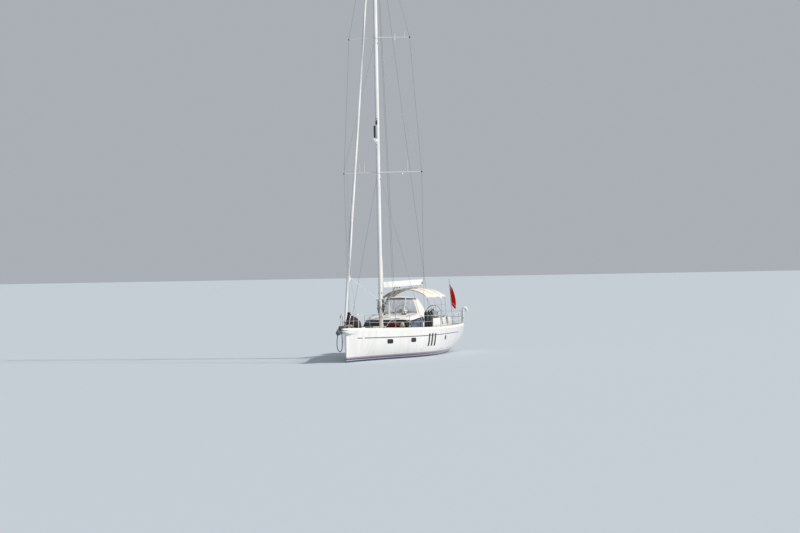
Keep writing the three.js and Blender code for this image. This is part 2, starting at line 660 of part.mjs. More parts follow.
// Toe rails with their stanchions, mooring cleats and shroud plates
const plateX = 880;
const plateY = 2110;
const stanchionPlaces = [6300, 5300, 4100, 2800, 1500, 150, -1300, -2800, -4300, -5700, -6900];
const cleatPlaces = [5750, -580, -7450];
const railStations = deckStations.filter((x) => x < 7000 && x > -8100);
function toeRail(side) {
  const strip = loft(
    [-8080, ...railStations, 7000].map((x) => {
      const { sheer, half } = linesAt(x);
      const at = x + leanAt(x, sheer);
      const [outer, inner] = [half - 8, half - 8 - Math.min(52, half * 0.09)];
      const [low, high] = [sheer - 30, sheer + 62];
      const ring = [[outer, low], [outer - 6, high], [inner + 6, high], [inner, low]];
      return ring.map(([y, z]) => vec(at, side * y, z));
    }),
  );
  const posts = stanchionPlaces.map((x) => {
    const { sheer, half } = linesAt(x);
    const y = side * (half - 36);
    return bar(vec(x, y, sheer + 40), vec(x, y, sheer + railHeight), 12.5, 8);
  });
  const cleats = cleatPlaces.flatMap((x) => {
    const { sheer, half } = linesAt(x);
    const y = side * (half - 130);
    const [inner, outer] = [y, side * (half - 40)].sort((a, b) => a - b);
    return [
      bar(vec(x - 45, y, sheer), vec(x - 45, y, sheer + 62), 16, 8),
      bar(vec(x + 45, y, sheer), vec(x + 45, y, sheer + 62), 16, 8),
      bar(vec(x - 150, y, sheer + 68), vec(x + 150, y, sheer + 68), 15, 8),
      box(x - 80, x + 80, inner, outer, sheer - 20, sheer + 26),
    ];
  });
  return onDeck(strip, posts, cleats);
}
for (const [name, side] of [['port', 1], ['starboard', -1]]) add(`toe_rail_${name}`, toeRail(side), 'teak');

// Pulpit and pushpit
const pulpitTop = 2440;
const pulpitBends = [
  [7240, 405, 1500],
  [7250, 415, pulpitTop],
  [7800, 350, pulpitTop + 20],
  [8180, 275, 2390],
  [8330, 205, 1700],
];
const pulpitSides = [-1, 1].flatMap((side) => [
  frame(pulpitBends.map(([x, y, z]) => vec(x, side * y, z)), framePipe),
  bar(vec(7740, side * 255, 1600), vec(7790, side * 350, pulpitTop + 16), framePipe, 6),
  bar(vec(7246, side * 411, 2120), vec(8238, side * 248, 2120), 10, 6),
]);
const pulpitStep = bar(vec(7900, -300, 2120), vec(7900, 300, 2120), framePipe, 6);
add('pulpit', onDeck(pulpitSides, pulpitStep), 'steel');

const pushpitTop = 2240;
const pushpitX = -7930;
const sternHalf = 1790;
const pushpitFrom = [-6990, 2025];
function pushpitRail(z, radius = framePipe) {
  const port = [pushpitFrom, [-7500, 1940], [pushpitX, sternHalf]].map(([x, y]) => vec(x, y, z));
  return frame([...port, ...port.map((p) => vec(p.x, -p.y, z)).reverse()], radius);
}
const pushpitPosts = [-1, 1].flatMap((side) => [
  bar(vec(pushpitX, side * sternHalf, 1400), vec(pushpitX, side * sternHalf, pushpitTop), framePipe, 6),
  bar(vec(pushpitX, side * 620, 1400), vec(pushpitX, side * 620, pushpitTop), framePipe, 6),
  bar(
    vec(pushpitFrom[0], side * pushpitFrom[1], 1400),
    vec(pushpitFrom[0], side * pushpitFrom[1], pushpitTop),
    framePipe,
    6,
  ),
]);
add('pushpit', onDeck(pushpitRail(pushpitTop), pushpitRail(1920), pushpitPosts), 'steel');

const railsGrown = [1920, pushpitTop].map((z) => pushpitRail(z, framePipe + 0.4));
const horseshoeBends = [[0, -90], [-40, 60], [60, 170], [160, 60], [120, -90]];
const horseshoe = tube(horseshoeBends.map(([a, b]) => vec(-7640 - a, 1956 + a * 0.33, 2330 + b)), 62, 14, 8);
const danbuoy = turned([[50, 0], [62, 40], [62, 780], [40, 830]], vec(-7790, 1925, 1640));
add('rescue_gear', cut(join(horseshoe, danbuoy), railsGrown, underDeck), 'plastic');

const staffFoot = vec(-7770, 1330, 1400);
const staffTop = vec(-7990, 1080, 4020);
const staffAt = (z) => staffFoot.clone().lerp(staffTop, (z - staffFoot.z) / (staffTop.z - staffFoot.z));
add('ensign_staff', onDeck(bar(staffFoot, staffTop, 15, 8), ball(staffTop, 26, 8)), 'steel');
// each level: z, how far the cloth reaches from the staff and half the depth of its folds
const ensignLevels = [[3880, 330, 46], [3500, 400, 70], [3000, 440, 84], [2620, 360, 60]];
const flagAim = vec(-0.62, 0.78, 0).normalize(); // aft and to port
const flagAcross = vec(-flagAim.y, flagAim.x, 0);
const flagDroop = 0.55;
const ensign = loft(
  ensignLevels.map(([z, reach, fold]) => {
    const ring = [[5, 0], [reach * 0.5, fold], [reach, 0], [reach * 0.5, -fold]];
    return ring.map(([out, over]) =>
      staffAt(z).addScaledVector(flagAim, out).addScaledVector(flagAcross, over).setZ(z - out * flagDroop));
  }),
);
add('ensign', cut(ensign, bar(staffFoot, staffTop, 15 + gap, 8)), 'flag');

// Ground tackle
const rollerY = -110;
const cheekOutline = [[8120, 1600], [8700, 1600], [8860, 1700], [8860, 1850], [8760, 1890], [8120, 1830]];
const cheeks = [-1, 1].map((side) => {
  const y = rollerY + side * 38;
  return slab(cheekOutline, y - 4, y + 4, 'y');
});
const rollerPin = bar(vec(8800, rollerY - 40, 1791), vec(8800, rollerY + 40, 1791), 34, 12);
const rollerSole = box(8120, 8700, rollerY - 40, rollerY + 40, 1600, 1790);
add('bow_roller', onDeck(cheeks, rollerPin, rollerSole), 'steel');
const shankLow = 1825 + gap;
const shankOutline = [
  [8230, shankLow], [8850, shankLow], [9020, 1680], [9110, 1720], [8850, 1895], [8230, 1885],
];
const shank = slab(shankOutline, rollerY - 12, rollerY + 12, 'y');
// each section: the wings' x, z and half breadth, then x and z of the crown above and below them
const flukeSections = [
  [8900, 1600, 170, 9060, 1770, 9030, 1740],
  [9000, 1500, 150, 9150, 1640, 9120, 1610],
  [9170, 1400, 12, 9190, 1420, 9180, 1395],
];
const fluke = loft(
  flukeSections.map(([wingX, wingZ, half, topX, topZ, lowX, lowZ]) => [
    vec(wingX, rollerY - half, wingZ), vec(topX, rollerY, topZ),
    vec(wingX, rollerY + half, wingZ), vec(lowX, rollerY, lowZ),
  ]),
);
add('anchor', join(shank, fluke), 'steel');
const windlass = join(
  turned([[110, 0], [110, 60], [85, 80], [85, 150], [95, 175], [60, 190]], vec(7520, 0, 1650)),
  bar(vec(7520, -190, 1860), vec(7520, 150, 1860), 55, 12),
  box(7440, 7600, -70, 70, 1820, 1930),
);
add('windlass', onDeck(windlass), 'steel');

// Mast, its spreaders and what it carries
const mastRing = (z, grow = 0, scale = 1) =>
  Array.from({ length: 12 }, (_, i) => {
    const turn = (i / 12) * 2 * Math.PI;
    const [long, wide] = [mastLength, mastWidth].map((size) => (size / 2) * scale + grow);
    return vec(mastX + long * Math.cos(turn), wide * Math.sin(turn), z);
  });
const mastGrown = loft([mastRing(1000, gap), mastRing(mastTop + 400, gap)]);
const gooseneckX = mastX - mastLength / 2 - 95;
const vangLow = 2280;
// Plates under which the stays end: the name and the middle of the end
const headHeight = mastTop - 60;
const tangY = 112;
const plates = {
  forestay: vec(mastX + 300, 0, headHeight),
  backstay: vec(mastX - 300, 0, headHeight),
  cap: vec(mastX - 20, tangY, headHeight - 140),
  middle: vec(mastX - 40, tangY, 16800),
  inner: vec(mastX - 40, tangY, 9560),
};
const tangs = [-1, 1].flatMap((side) =>
  ['cap', 'middle', 'inner'].map((name) => {
    const { x, z } = plates[name];
    const [low, high] = [side * 60, side * (tangY + 18)].sort((a, b) => a - b);
    return box(x - 20, x + 20, low, high, z, z + 26);
  }),
);
// where a stay of this radius ends, just under its plate
function underPlate(name, from, radius, side = 1) {
  const at = plates[name].clone();
  at.y *= side;
  const aim = at.clone().sub(from).normalize();
  return at.addScaledVector(aim, -(radius * Math.hypot(aim.x, aim.y) + gap) / aim.z);
}
const radomeX = mastX + 560;
const radomeShelf = 11470;
const mastBody = join(
  tangs,
  box(mastX - 330, mastX + 330, -24, 24, headHeight, headHeight + 30),
  loft([mastRing(1400), mastRing(mastTop - 900), mastRing(mastTop, 0, 0.8)]),
  loft([mastRing(1400, 28), mastRing(deckTopAt(mastX, 0) + 70, 28)]),
  box(gooseneckX - 45, mastX - 100, -42, 42, boomUnderside - 32, boomUnderside),
  box(gooseneckX - 38, mastX - 100, -34, 34, vangLow - 28, vangLow),
  box(mastX + 100, radomeX + 80, -30, 30, radomeShelf - 40, radomeShelf),
  bar(vec(radomeX, 0, radomeShelf - 30), vec(mastX + 130, 0, radomeShelf - 340), 14, 6),
);
add('mast', onDeck(mastBody), 'alloy');
const radomeProfile = [[150, 0], [225, 30], [232, 90], [215, 160], [120, 205]];
add('radome', turned(radomeProfile, vec(radomeX, 0, radomeShelf + gap), vec(0, 0, 1), 20), 'plastic');

const shroudRadius = 8;
const tiers = [
  { name: 'lower', z: 9900, half: 2180, sweep: 790 },
  { name: 'upper', z: 17100, half: 1700, sweep: 610 },
];
const [lower, upper] = tiers;
const tipOf = (tier, side) => vec(mastX - tier.sweep, side * tier.half, tier.z);
const shroudFoot = (side) => vec(plateX, side * plateY, 1450);
function shroudPath(side, radius) {
  const [low, high] = [tipOf(lower, side), tipOf(upper, side)];
  return frame([shroudFoot(side), low, high, underPlate('cap', high, shroudRadius, side)], radius);
}
for (const tier of tiers) {
  const arms = [-1, 1].map((side) => {
    const tip = tipOf(tier, side);
    const from = vec(mastX - 20, 0, tier.z);
    const out = tip.clone().addScaledVector(tip.clone().sub(from).normalize(), 22);
    const sections = [[from, 82, 24], [out, 34, 13]];
    return loft(sections.map(([at, reach, thick]) =>
      Array.from({ length: 8 }, (_, i) => {
        const turn = (i / 8) * 2 * Math.PI;
        return vec(at.x + reach * Math.cos(turn), at.y, at.z + thick * Math.sin(turn));
      })));
  });
  const collar = loft([mastRing(tier.z - 60, 14), mastRing(tier.z + 60, 14)]);
  const shrouds = [-1, 1].flatMap((side) => shroudPath(side, shroudRadius + gap));
  add(`spreaders_${tier.name}`, cut(join(collar, arms), mastGrown, shrouds), 'alloy');
}
for (const [name, side] of [['port', 1], ['starboard', -1]]) {
  const high = tipOf(lower, side).clone().lerp(tipOf(upper, side), 0.022);
  const { sheer } = linesAt(plateX);
  const plate = [side * (plateY - 55), side * (plateY + 55)].sort((a, b) => a - b);
  const inboard = vec(plateX + 30, side * (plateY - 30), 1450);
  const stays = join(
    shroudPath(side, shroudRadius),
    bar(inboard, underPlate('inner', inboard, shroudRadius, side), shroudRadius, 6),
    bar(high, underPlate('middle', high, shroudRadius - 1, side), shroudRadius - 1, 6),
    box(plateX - 70, plateX + 90, plate[0], plate[1], 1400, sheer + 58),
  );
  add(`shrouds_${name}`, onDeck(stays), 'steel');
}
const backstayFoot = vec(-7840, 0, 1400);
const backstayHead = underPlate('backstay', backstayFoot, shroudRadius);
add('backstay', onDeck(bar(backstayFoot, backstayHead, shroudRadius, 8)), 'steel');
const stayFoot = vec(8330, 0, 1600);
const stayRadius = 13;
const stayHead = underPlate('forestay', stayFoot, stayRadius);
const stayAim = stayHead.clone().sub(stayFoot).normalize();
const drumTop = 475;
const drumProfile = [
  [40, 300], [88, 305], [88, 320], [45, 340], [45, 430], [88, 450], [88, 465], [40, drumTop],
];
const drum = turned(drumProfile, stayFoot, stayAim, 12);
const stay = bar(stayFoot, stayHead, stayRadius, 8);
add('forestay', onDeck(stay, drum), 'steel');
const stayLength = stayHead.distanceTo(stayFoot);
const roll = [
  [60, 560], [98, 760], [112, 2600], [100, 7000], [82, 14000], [62, 19500], [40, stayLength - 1300],
];
const luffHole = stayRadius + 2;
const genoaProfile = [[luffHole, drumTop + gap], [38, drumTop + gap], ...roll, [luffHole, stayLength - 1250]];
const genoaLoop = [...genoaProfile, genoaProfile[0]].map(([r, h]) => new THREE.Vector2(r, h));
const genoaShape = new THREE.LatheGeometry(genoaLoop, 8);
genoaShape.applyQuaternion(upTo(stayAim));
genoaShape.translate(stayFoot.x, stayFoot.y, stayFoot.z);
add('genoa', outward(genoaShape.toNonIndexed()), 'sailcloth');

const crane = join(
  box(mastX - 190, mastX + 170, -36, 36, mastTop + gap, mastTop + 70),
  bar(vec(mastX - 150, 0, mastTop + 60), vec(mastX - 150, 0, mastTop + 820), 7, 6),
  bar(vec(mastX + 120, 0, mastTop + 60), vec(mastX + 520, 0, mastTop + 160), 7, 6),
  bar(vec(mastX + 505, 0, mastTop + 150), vec(mastX + 505, 0, mastTop + 300), 9, 6),
  turned([[36, 0], [42, 20], [42, 110], [30, 130]], vec(mastX, 0, mastTop + 60)),
);
add('masthead_unit', crane, 'plastic');

// Boom with its strut, lying to port
const boomLength = 6300;
const boomRise = 90;
const boomTilt = Math.atan2(boomRise, boomLength);
const boomOutline = [[-70, 0], [-boomLength, boomRise], [-boomLength, boomRise + 290], [-70, 315]];
const boomHalf = 78;
const boomSolid = join(
  slab(boomOutline.map(([a, b]) => [a, boomUnderside + gap + b]), -boomHalf, boomHalf, 'y'),
  bar(vec(0, 0, boomUnderside + gap), vec(0, 0, boomUnderside + 260), 34, 12),
  box(-120, 0, -30, 30, boomUnderside + 60, boomUnderside + 220),
  bar(vec(0, 0, vangLow + gap), vec(0, 0, vangLow + 110), 28, 12),
  bar(vec(0, 0, vangLow + 70), vec(-2100, 0, boomUnderside + 80), 32, 10),
);
const lieToPort = (solid) =>
  solid.rotate([0, 0, -THREE.MathUtils.radToDeg(boomSwing)]).translate([gooseneckX, 0, 0]);
add('boom', lieToPort(boomSolid), 'alloy');

// What lies on deck
const fenderProfile = [[20, 0], [70, 30], [98, 110], [98, 830], [70, 910], [24, 940], [24, 990]];
const fenderPlaces = [[670, 2140], [240, 2170], [-220, 2190]];
fenderPlaces.forEach(([x, y], i) => {
  add(`fender_${i + 1}`, onDeck(turned(fenderProfile, vec(x, y, 1480))), 'rubber');
});
// each section: x, half breadth, height and y of the middle, which passes inside the shrouds
const bagSections = [
  [2400, 90, 120, 1770], [1850, 170, 320, 1830], [1250, 150, 420, 1830],
  [900, 120, 440, 1795], [300, 115, 380, 1790],
];
const blueBag = loft(
  bagSections.map(([x, half, tall, y]) => {
    return Array.from({ length: 8 }, (_, i) => {
      const turn = ((i + 0.5) / 8) * 2 * Math.PI;
      return vec(x, y + half * Math.cos(turn), 1500 + tall / 2 + 60 + (tall / 2 + 60) * Math.sin(turn));
    });
  }),
);
add('blue_bag', onDeck(blueBag), 'flag');
// each level: z, half length, half breadth and y of its middle; the neck leans to starboard
const brownLevels = [
  [1600, 330, 400, -50], [2000, 350, 430, -80], [2330, 270, 340, -130], [2560, 90, 120, -250],
];
const brownX = 6700;
const brownBag = loft(
  brownLevels.map(([z, reach, half, y]) =>
    Array.from({ length: 8 }, (_, i) => {
      const turn = ((i + 0.5) / 8) * 2 * Math.PI;
      return vec(brownX + reach * Math.cos(turn), y + half * Math.sin(turn), z);
    }),
  ),
);
add('sail_bag', onDeck(brownBag), 'brown');

// Bathing ladder, folded up against the transom
const ladderTop = ladderHinge.clone().add(vec(150, 0, 960));
const pinHalf = ladderHalf + 36 - gap;
const railOf = (side) =>
  bar(ladderHinge.clone().setY(side * ladderHalf), ladderTop.clone().setY(side * ladderHalf), 14, 8);
const ladder = join(
  [-1, 1].map(railOf),
  bar(ladderHinge.clone().setY(-pinHalf), ladderHinge.clone().setY(pinHalf), 12, 8),
  [0.3, 0.6, 0.97].map((share) => {
    const at = ladderHinge.clone().lerp(ladderTop, share);
    return box(at.x - 22, at.x + 14, -ladderHalf, ladderHalf, at.z - 12, at.z + 12);
  }),
);
add('swim_ladder', ladder, 'steel');

export default yacht;
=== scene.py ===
import bpy
import bmesh
import json
import math
from mathutils import Matrix, Vector, noise
from mathutils.bvhtree import BVHTree

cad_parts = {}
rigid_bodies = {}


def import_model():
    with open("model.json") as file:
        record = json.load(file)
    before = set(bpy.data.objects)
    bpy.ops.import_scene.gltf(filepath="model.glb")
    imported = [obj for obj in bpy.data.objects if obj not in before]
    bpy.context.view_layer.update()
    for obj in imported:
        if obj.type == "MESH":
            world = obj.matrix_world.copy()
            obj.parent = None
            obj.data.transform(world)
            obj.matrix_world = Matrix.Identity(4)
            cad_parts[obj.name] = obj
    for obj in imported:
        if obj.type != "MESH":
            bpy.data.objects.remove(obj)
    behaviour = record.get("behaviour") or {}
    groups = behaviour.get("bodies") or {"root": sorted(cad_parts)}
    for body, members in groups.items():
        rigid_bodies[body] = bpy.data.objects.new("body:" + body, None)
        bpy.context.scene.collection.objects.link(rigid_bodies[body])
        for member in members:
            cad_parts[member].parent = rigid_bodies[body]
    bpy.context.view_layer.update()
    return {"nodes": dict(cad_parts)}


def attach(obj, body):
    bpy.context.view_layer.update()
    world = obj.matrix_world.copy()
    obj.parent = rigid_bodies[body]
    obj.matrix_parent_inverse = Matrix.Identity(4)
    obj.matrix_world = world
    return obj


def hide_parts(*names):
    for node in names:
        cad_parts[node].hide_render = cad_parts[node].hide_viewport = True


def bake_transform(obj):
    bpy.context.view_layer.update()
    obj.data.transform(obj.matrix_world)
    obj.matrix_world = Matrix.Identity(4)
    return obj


for leftover in list(bpy.data.objects):
    bpy.data.objects.remove(leftover, do_unlink=True)
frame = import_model()
nodes = frame["nodes"]
print("frame loaded:", len(nodes), "nodes")


# lengths and angles
def lengthOf(path):
    return sum((b - a).length for a, b in zip(path, path[1:]))


def lift(z):
    return Vector((0, 0, z))


def circle(count):
    # the angles of so many points spread evenly round a circle
    return [math.tau * k / count for k in range(count)]


def arch(count):
    # the angles of half a circle in so many steps, both ends among them
    return [math.pi * k / count for k in range(count + 1)]


# camera, light and floor
view = {
    "eye": (133.06, 39.87, 5.17),
    "along": (-0.959, -0.2834, 0.0),
    "pitch": 0.134,  # degrees below the horizon
    "roll": -1.11,  # degrees, as the photograph leans
    "lens": 115.5,
    "toSun": (0.0, 0.76, 0.65),
    "sunEnergy": 3.45,
    "skyEnergy": 0.5,
    "floorReach": 620.0,
}


def setCamera():
    data = bpy.data.cameras.new("camera")
    data.lens, data.sensor_width, data.sensor_fit = view["lens"], 36.0, "HORIZONTAL"
    data.clip_start, data.clip_end = 0.5, 2000.0
    camera = bpy.data.objects.new("camera", data)
    bpy.context.scene.collection.objects.link(camera)
    along = Vector(view["along"]).normalized()
    down = math.radians(view["pitch"])
    aim = along * math.cos(down) - lift(math.sin(down))
    turn = aim.to_track_quat("-Z", "Y").to_matrix().to_4x4()
    camera.matrix_world = (
        Matrix.Translation(view["eye"]) @ turn @ Matrix.Rotation(math.radians(view["roll"]), 4, "Z")
    )
    bpy.context.scene.camera = camera


def setLights():
    # the sun stands high to the right of the camera, on the port side
    sun = bpy.data.lights.new("sun", "SUN")
    sun.energy, sun.angle, sun.color = view["sunEnergy"], math.radians(4.0), (1.0, 0.965, 0.91)
    lamp = bpy.data.objects.new("sun", sun)
    toSun = Vector(view["toSun"]).normalized()
    lamp.rotation_euler = toSun.to_track_quat("Z", "Y").to_euler()
    bpy.context.scene.collection.objects.link(lamp)
    world = bpy.data.worlds.new("studio")
    world.use_nodes = True
    background = world.node_tree.nodes["Background"]
    background.inputs["Color"].default_value = (0.8, 0.86, 0.93, 1.0)
    background.inputs["Strength"].default_value = view["skyEnergy"]
    bpy.context.scene.world = world
    bpy.context.scene.view_settings.view_transform = "Standard"


def setFloor():
    bm = bmesh.new()
    bmesh.ops.create_grid(bm, x_segments=1, y_segments=1, size=view["floorReach"])
    mesh = bpy.data.meshes.new("floor")
    bm.to_mesh(mesh)
    bm.free()
    floor = bpy.data.objects.new("floor", mesh)
    pale = bpy.data.materials.new("floorPale")
    pale.use_nodes = True
    shader = pale.node_tree.nodes["Principled BSDF"]
    shader.inputs["Base Color"].default_value = (0.5, 0.55, 0.6, 1.0)
    shader.inputs["Roughness"].default_value = 0.85
    mesh.materials.append(pale)
    bpy.context.scene.collection.objects.link(floor)


setCamera()
setLights()
setFloor()
print("camera, light and floor set")


# materials
def addNode(tree, kind, inputs=None, **settings):
    node = tree.nodes.new(kind)
    for name, value in settings.items():
        setattr(node, name, value)
    for key, value in (inputs or {}).items():
        socket = node.inputs[key]
        if isinstance(value, bpy.types.NodeSocket):
            tree.links.new(value, socket)
        else:
            socket.default_value = value
    return node


def maths(tree, operation, *values):
    return addNode(tree, "ShaderNodeMath", dict(enumerate(values)), operation=operation).outputs[0]


def newFinish(name, colour, rough, metal=0.0, **sockets):
    material = bpy.data.materials.new(name)
    material.use_nodes = True
    material.diffuse_color = (*colour, 1.0)
    shader = material.node_tree.nodes["Principled BSDF"]
    shader.inputs["Base Color"].default_value = (*colour, 1.0)
    shader.inputs["Roughness"].default_value = rough
    shader.inputs["Metallic"].default_value = metal
    for key, value in sockets.items():
        shader.inputs[key.replace("_", " ")].default_value = value
    return material, material.node_tree, shader


def place(tree, stretch=(1, 1, 1), turn=(0, 0, 0)):
    coords = addNode(tree, "ShaderNodeTexCoord")
    mapping = addNode(
        tree, "ShaderNodeMapping", {"Vector": coords.outputs["Object"], "Scale": stretch, "Rotation": turn}
    )
    return mapping.outputs["Vector"]


def axes(tree):
    return addNode(tree, "ShaderNodeSeparateXYZ", {"Vector": place(tree)}).outputs


def feed(shader, name, value):
    shader.id_data.links.new(value, shader.inputs[name])


def speckle(tree, scale, detail=4.0, rough=0.55, stretch=(1, 1, 1), turn=(0, 0, 0)):
    return addNode(
        tree, "ShaderNodeTexNoise",
        {"Vector": place(tree, stretch, turn), "Scale": scale, "Detail": detail, "Roughness": rough},
    ).outputs["Fac"]


def ramp(tree, factor, stops, hard=False):
    node = addNode(tree, "ShaderNodeValToRGB", {"Fac": factor})
    node.color_ramp.interpolation = "CONSTANT" if hard else "LINEAR"
    elements = node.color_ramp.elements
    while len(elements) > 1:
        elements.remove(elements[-1])
    for i, (at, colour) in enumerate(stops):
        element = elements[0] if i == 0 else elements.new(at)
        element.position = at
        element.color = (*colour, 1.0) if len(colour) == 3 else colour
    return node.outputs["Color"]


def grey(tree, factor, low, high, fromLow=0.0, fromHigh=1.0):
    return addNode(
        tree, "ShaderNodeMapRange",
        {"Value": factor, "From Min": fromLow, "From Max": fromHigh, "To Min": low, "To Max": high},
    ).outputs["Result"]


def mixed(tree, factor, a, b, blend="MIX"):
    node = addNode(tree, "ShaderNodeMix", data_type="RGBA", blend_type=blend)
    for index, value in ((0, factor), (6, a), (7, b)):
        if isinstance(value, bpy.types.NodeSocket):
            tree.links.new(value, node.inputs[index])
        else:
            node.inputs[index].default_value = value if index == 0 else (*value, 1.0)[:4]
    return node.outputs[2]


def bumps(tree, shader, layers):
    normal = None
    for height, distance, strength in layers:
        inputs = {"Height": height, "Distance": distance, "Strength": strength}
        if normal is not None:
            inputs["Normal"] = normal
        normal = addNode(tree, "ShaderNodeBump", inputs).outputs["Normal"]
    feed(shader, "Normal", normal)


def aged(
    name, colour, darker, rough, metal=0.0, scale=1.2, grain=60.0, depth=0.0006, spread=0.1, **sockets
):
    # a finish that drifts between two colours, with fine grain and uneven gloss
    material, tree, shader = newFinish(name, colour, rough, metal, **sockets)
    drift = speckle(tree, scale, 6.0, 0.6)
    feed(shader, "Base Color", ramp(tree, drift, [(0.35, darker), (0.62, colour)]))
    feed(
        shader, "Roughness", grey(tree, speckle(tree, scale * 3), rough - spread, rough + spread, 0.3, 0.7)
    )
    bumps(tree, shader, [(speckle(tree, grain, 3.0), depth, 0.5)])
    return material


def between(tree, value, low, high):
    return maths(tree, "COMPARE", value, (low + high) / 2, (high - low) / 2)


hullPaint = {
    "white": (0.8, 0.795, 0.775), "weathered": (0.73, 0.715, 0.68), "stain": (0.6, 0.56, 0.43),
    # lower edge, upper edge and colour of each band above the water
    "bands": (
        (-9.0, 0.085, None), (0.085, 0.125, (0.42, 0.47, 0.64)), (0.125, 0.19, (0.06, 0.022, 0.08)),
        (0.19, 0.26, (0.36, 0.25, 0.32)),
    ),
    "coveLow": 1.1, "coveTall": 0.05, "coveRise": 0.09, "coveEnds": ((-5.4, 6.78), (6.96, 7.38)),
    "coveColour": (0.16, 0.1, 0.14),
}


def makeHullPaint():
    material, tree, shader = newFinish(
        "hullGelcoat", hullPaint["white"], 0.2, Coat_Weight=0.6, Coat_Roughness=0.08
    )
    parts = axes(tree)
    height = parts["Z"]
    streaks = speckle(tree, 1.6, 6.0, 0.6, (3.5, 1.0, 0.35))
    shell = ramp(tree, streaks, [(0.36, hullPaint["weathered"]), (0.58, hullPaint["white"])])
    # a faint yellow tide mark just above the water, fading upwards
    tide = grey(tree, height, 1.0, 0.0, 0.03, 0.5)
    wet = maths(tree, "MULTIPLY", tide, streaks)
    painted = mixed(tree, grey(tree, wet, 0.0, 0.4, 0.1, 0.75), shell, hullPaint["stain"])
    scum = speckle(tree, 2.3, 8.0, 0.65)
    antifoul = ramp(
        tree, scum, [(0.35, (0.008, 0.02, 0.05)), (0.6, (0.012, 0.045, 0.085)), (0.72, (0.03, 0.08, 0.09))]
    )
    for low, high, colour in hullPaint["bands"]:
        painted = mixed(tree, between(tree, height, low, high), painted, colour or antifoul)
    # the cove line rises towards the bow; a short dash stands ahead of it
    forward = maths(tree, "ADD", parts["X"], 1.0)
    forward = maths(tree, "MAXIMUM", forward, 0.0)
    forward = maths(tree, "POWER", forward, 2.0)
    level = maths(tree, "MULTIPLY_ADD", forward, -hullPaint["coveRise"] / 64, height)
    line = between(tree, level, hullPaint["coveLow"], hullPaint["coveLow"] + hullPaint["coveTall"])
    spans = [between(tree, parts["X"], low, high) for low, high in hullPaint["coveEnds"]]
    span = maths(tree, "MAXIMUM", spans[0], spans[1])
    cove = maths(tree, "MULTIPLY", line, span)
    feed(shader, "Base Color", mixed(tree, cove, painted, hullPaint["coveColour"]))
    below = maths(tree, "LESS_THAN", height, 0.085)
    feed(shader, "Roughness", grey(tree, below, 0.2, 0.75))
    bumps(tree, shader, [(speckle(tree, 1.1, 3.0), 0.006, 0.12), (speckle(tree, 45.0, 3.0), 0.0006, 0.18)])
    return material


def makeTeak(name, plank=0.055, along=0, pale=(0.46, 0.37, 0.27), dark=(0.33, 0.25, 0.17), edges=False):
    # laid planks with black caulking between them; edges=True leaves upright faces in white gelcoat
    material, tree, shader = newFinish(name, pale, 0.75)
    parts = axes(tree)
    across = parts["Y" if along == 0 else "X"]
    share = maths(tree, "DIVIDE", across, plank)
    fraction = maths(tree, "FRACT", share)
    seam = maths(tree, "LESS_THAN", fraction, 0.09)
    number = maths(tree, "FLOOR", share)
    tint = addNode(tree, "ShaderNodeTexWhiteNoise", {"W": number}, noise_dimensions="1D").outputs["Value"]
    stretch = (1.2, 26.0, 8.0) if along == 0 else (26.0, 1.2, 8.0)
    grain = speckle(tree, 4.0, 8.0, 0.65, stretch)
    wood = mixed(tree, grey(tree, grain, 0.0, 1.0, 0.35, 0.65), dark, pale)
    silvered = mixed(tree, grey(tree, tint, 0.0, 0.45), wood, (0.5, 0.47, 0.42))
    worn = mixed(
        tree, grey(tree, speckle(tree, 0.8, 5.0), 0.0, 0.5, 0.45, 0.75), silvered, (0.42, 0.38, 0.32)
    )
    laid = mixed(tree, seam, worn, (0.02, 0.02, 0.02))
    if edges:
        facing = addNode(tree, "ShaderNodeNewGeometry").outputs["Normal"]
        upright = addNode(tree, "ShaderNodeSeparateXYZ", {"Vector": facing}).outputs["Z"]
        flat = maths(tree, "LESS_THAN", upright, 0.7)
        laid = mixed(tree, flat, laid, (0.84, 0.835, 0.81))
    feed(shader, "Base Color", laid)
    sunk = maths(tree, "SUBTRACT", 1.0, seam)
    bumps(tree, shader, [(sunk, 0.0015, 0.6), (grain, 0.0012, 0.4)])
    return material


def makeCloth(name, colour, shade, weave=900.0, wrinkle=0.02, sheen=0.04, rough=0.88):
    # woven cloth: threads both ways, soft creases, and a little fading
    material, tree, shader = newFinish(name, colour, rough, Sheen_Weight=sheen, Sheen_Roughness=0.5)
    faded = speckle(tree, 0.9, 6.0, 0.6)
    creases = speckle(tree, 5.0, 6.0, 0.6, (1.0, 1.0, 1.6))
    cloth = ramp(tree, faded, [(0.33, shade), (0.62, colour)])
    threads = []
    for axis in ("X", "Y", "Z"):
        wave = addNode(
            tree, "ShaderNodeTexWave", {"Vector": place(tree), "Scale": weave / 6.0, "Distortion": 0.6},
            bands_direction=axis
        )
        threads.append(wave.outputs["Fac"])
    pairs = maths(tree, "MULTIPLY", threads[0], threads[1])
    woven = maths(tree, "ADD", pairs, threads[2])
    # the colour darkens along the same noise that raises the creases
    creaseDarkened = mixed(tree, grey(tree, creases, 0.0, 0.35, 0.45, 0.7), cloth, tuple(c * 0.8 for c in shade))
    feed(
        shader, "Base Color",
        mixed(tree, grey(tree, woven, 0.0, 0.12), creaseDarkened, tuple(c * 0.7 for c in colour))
    )
    bumps(tree, shader, [(creases, wrinkle, 0.35), (woven, 0.0004, 0.4)])
    return material


def makeBrushed(name, colour, rough, scratch=(1.0, 1.0, 40.0)):
    # metal with fine drawn scratches and duller patches
    material, tree, shader = newFinish(name, colour, rough, 1.0)
    drawn = speckle(tree, 30.0, 5.0, 0.6, scratch)
    dull = speckle(tree, 2.5, 5.0)
    feed(shader, "Roughness", grey(tree, dull, rough - 0.08, rough + 0.16, 0.3, 0.7))
    feed(shader, "Base Color", ramp(tree, dull, [(0.3, tuple(c * 0.78 for c in colour)), (0.6, colour)]))
    bumps(tree, shader, [(drawn, 0.0002, 0.3)])
    return material


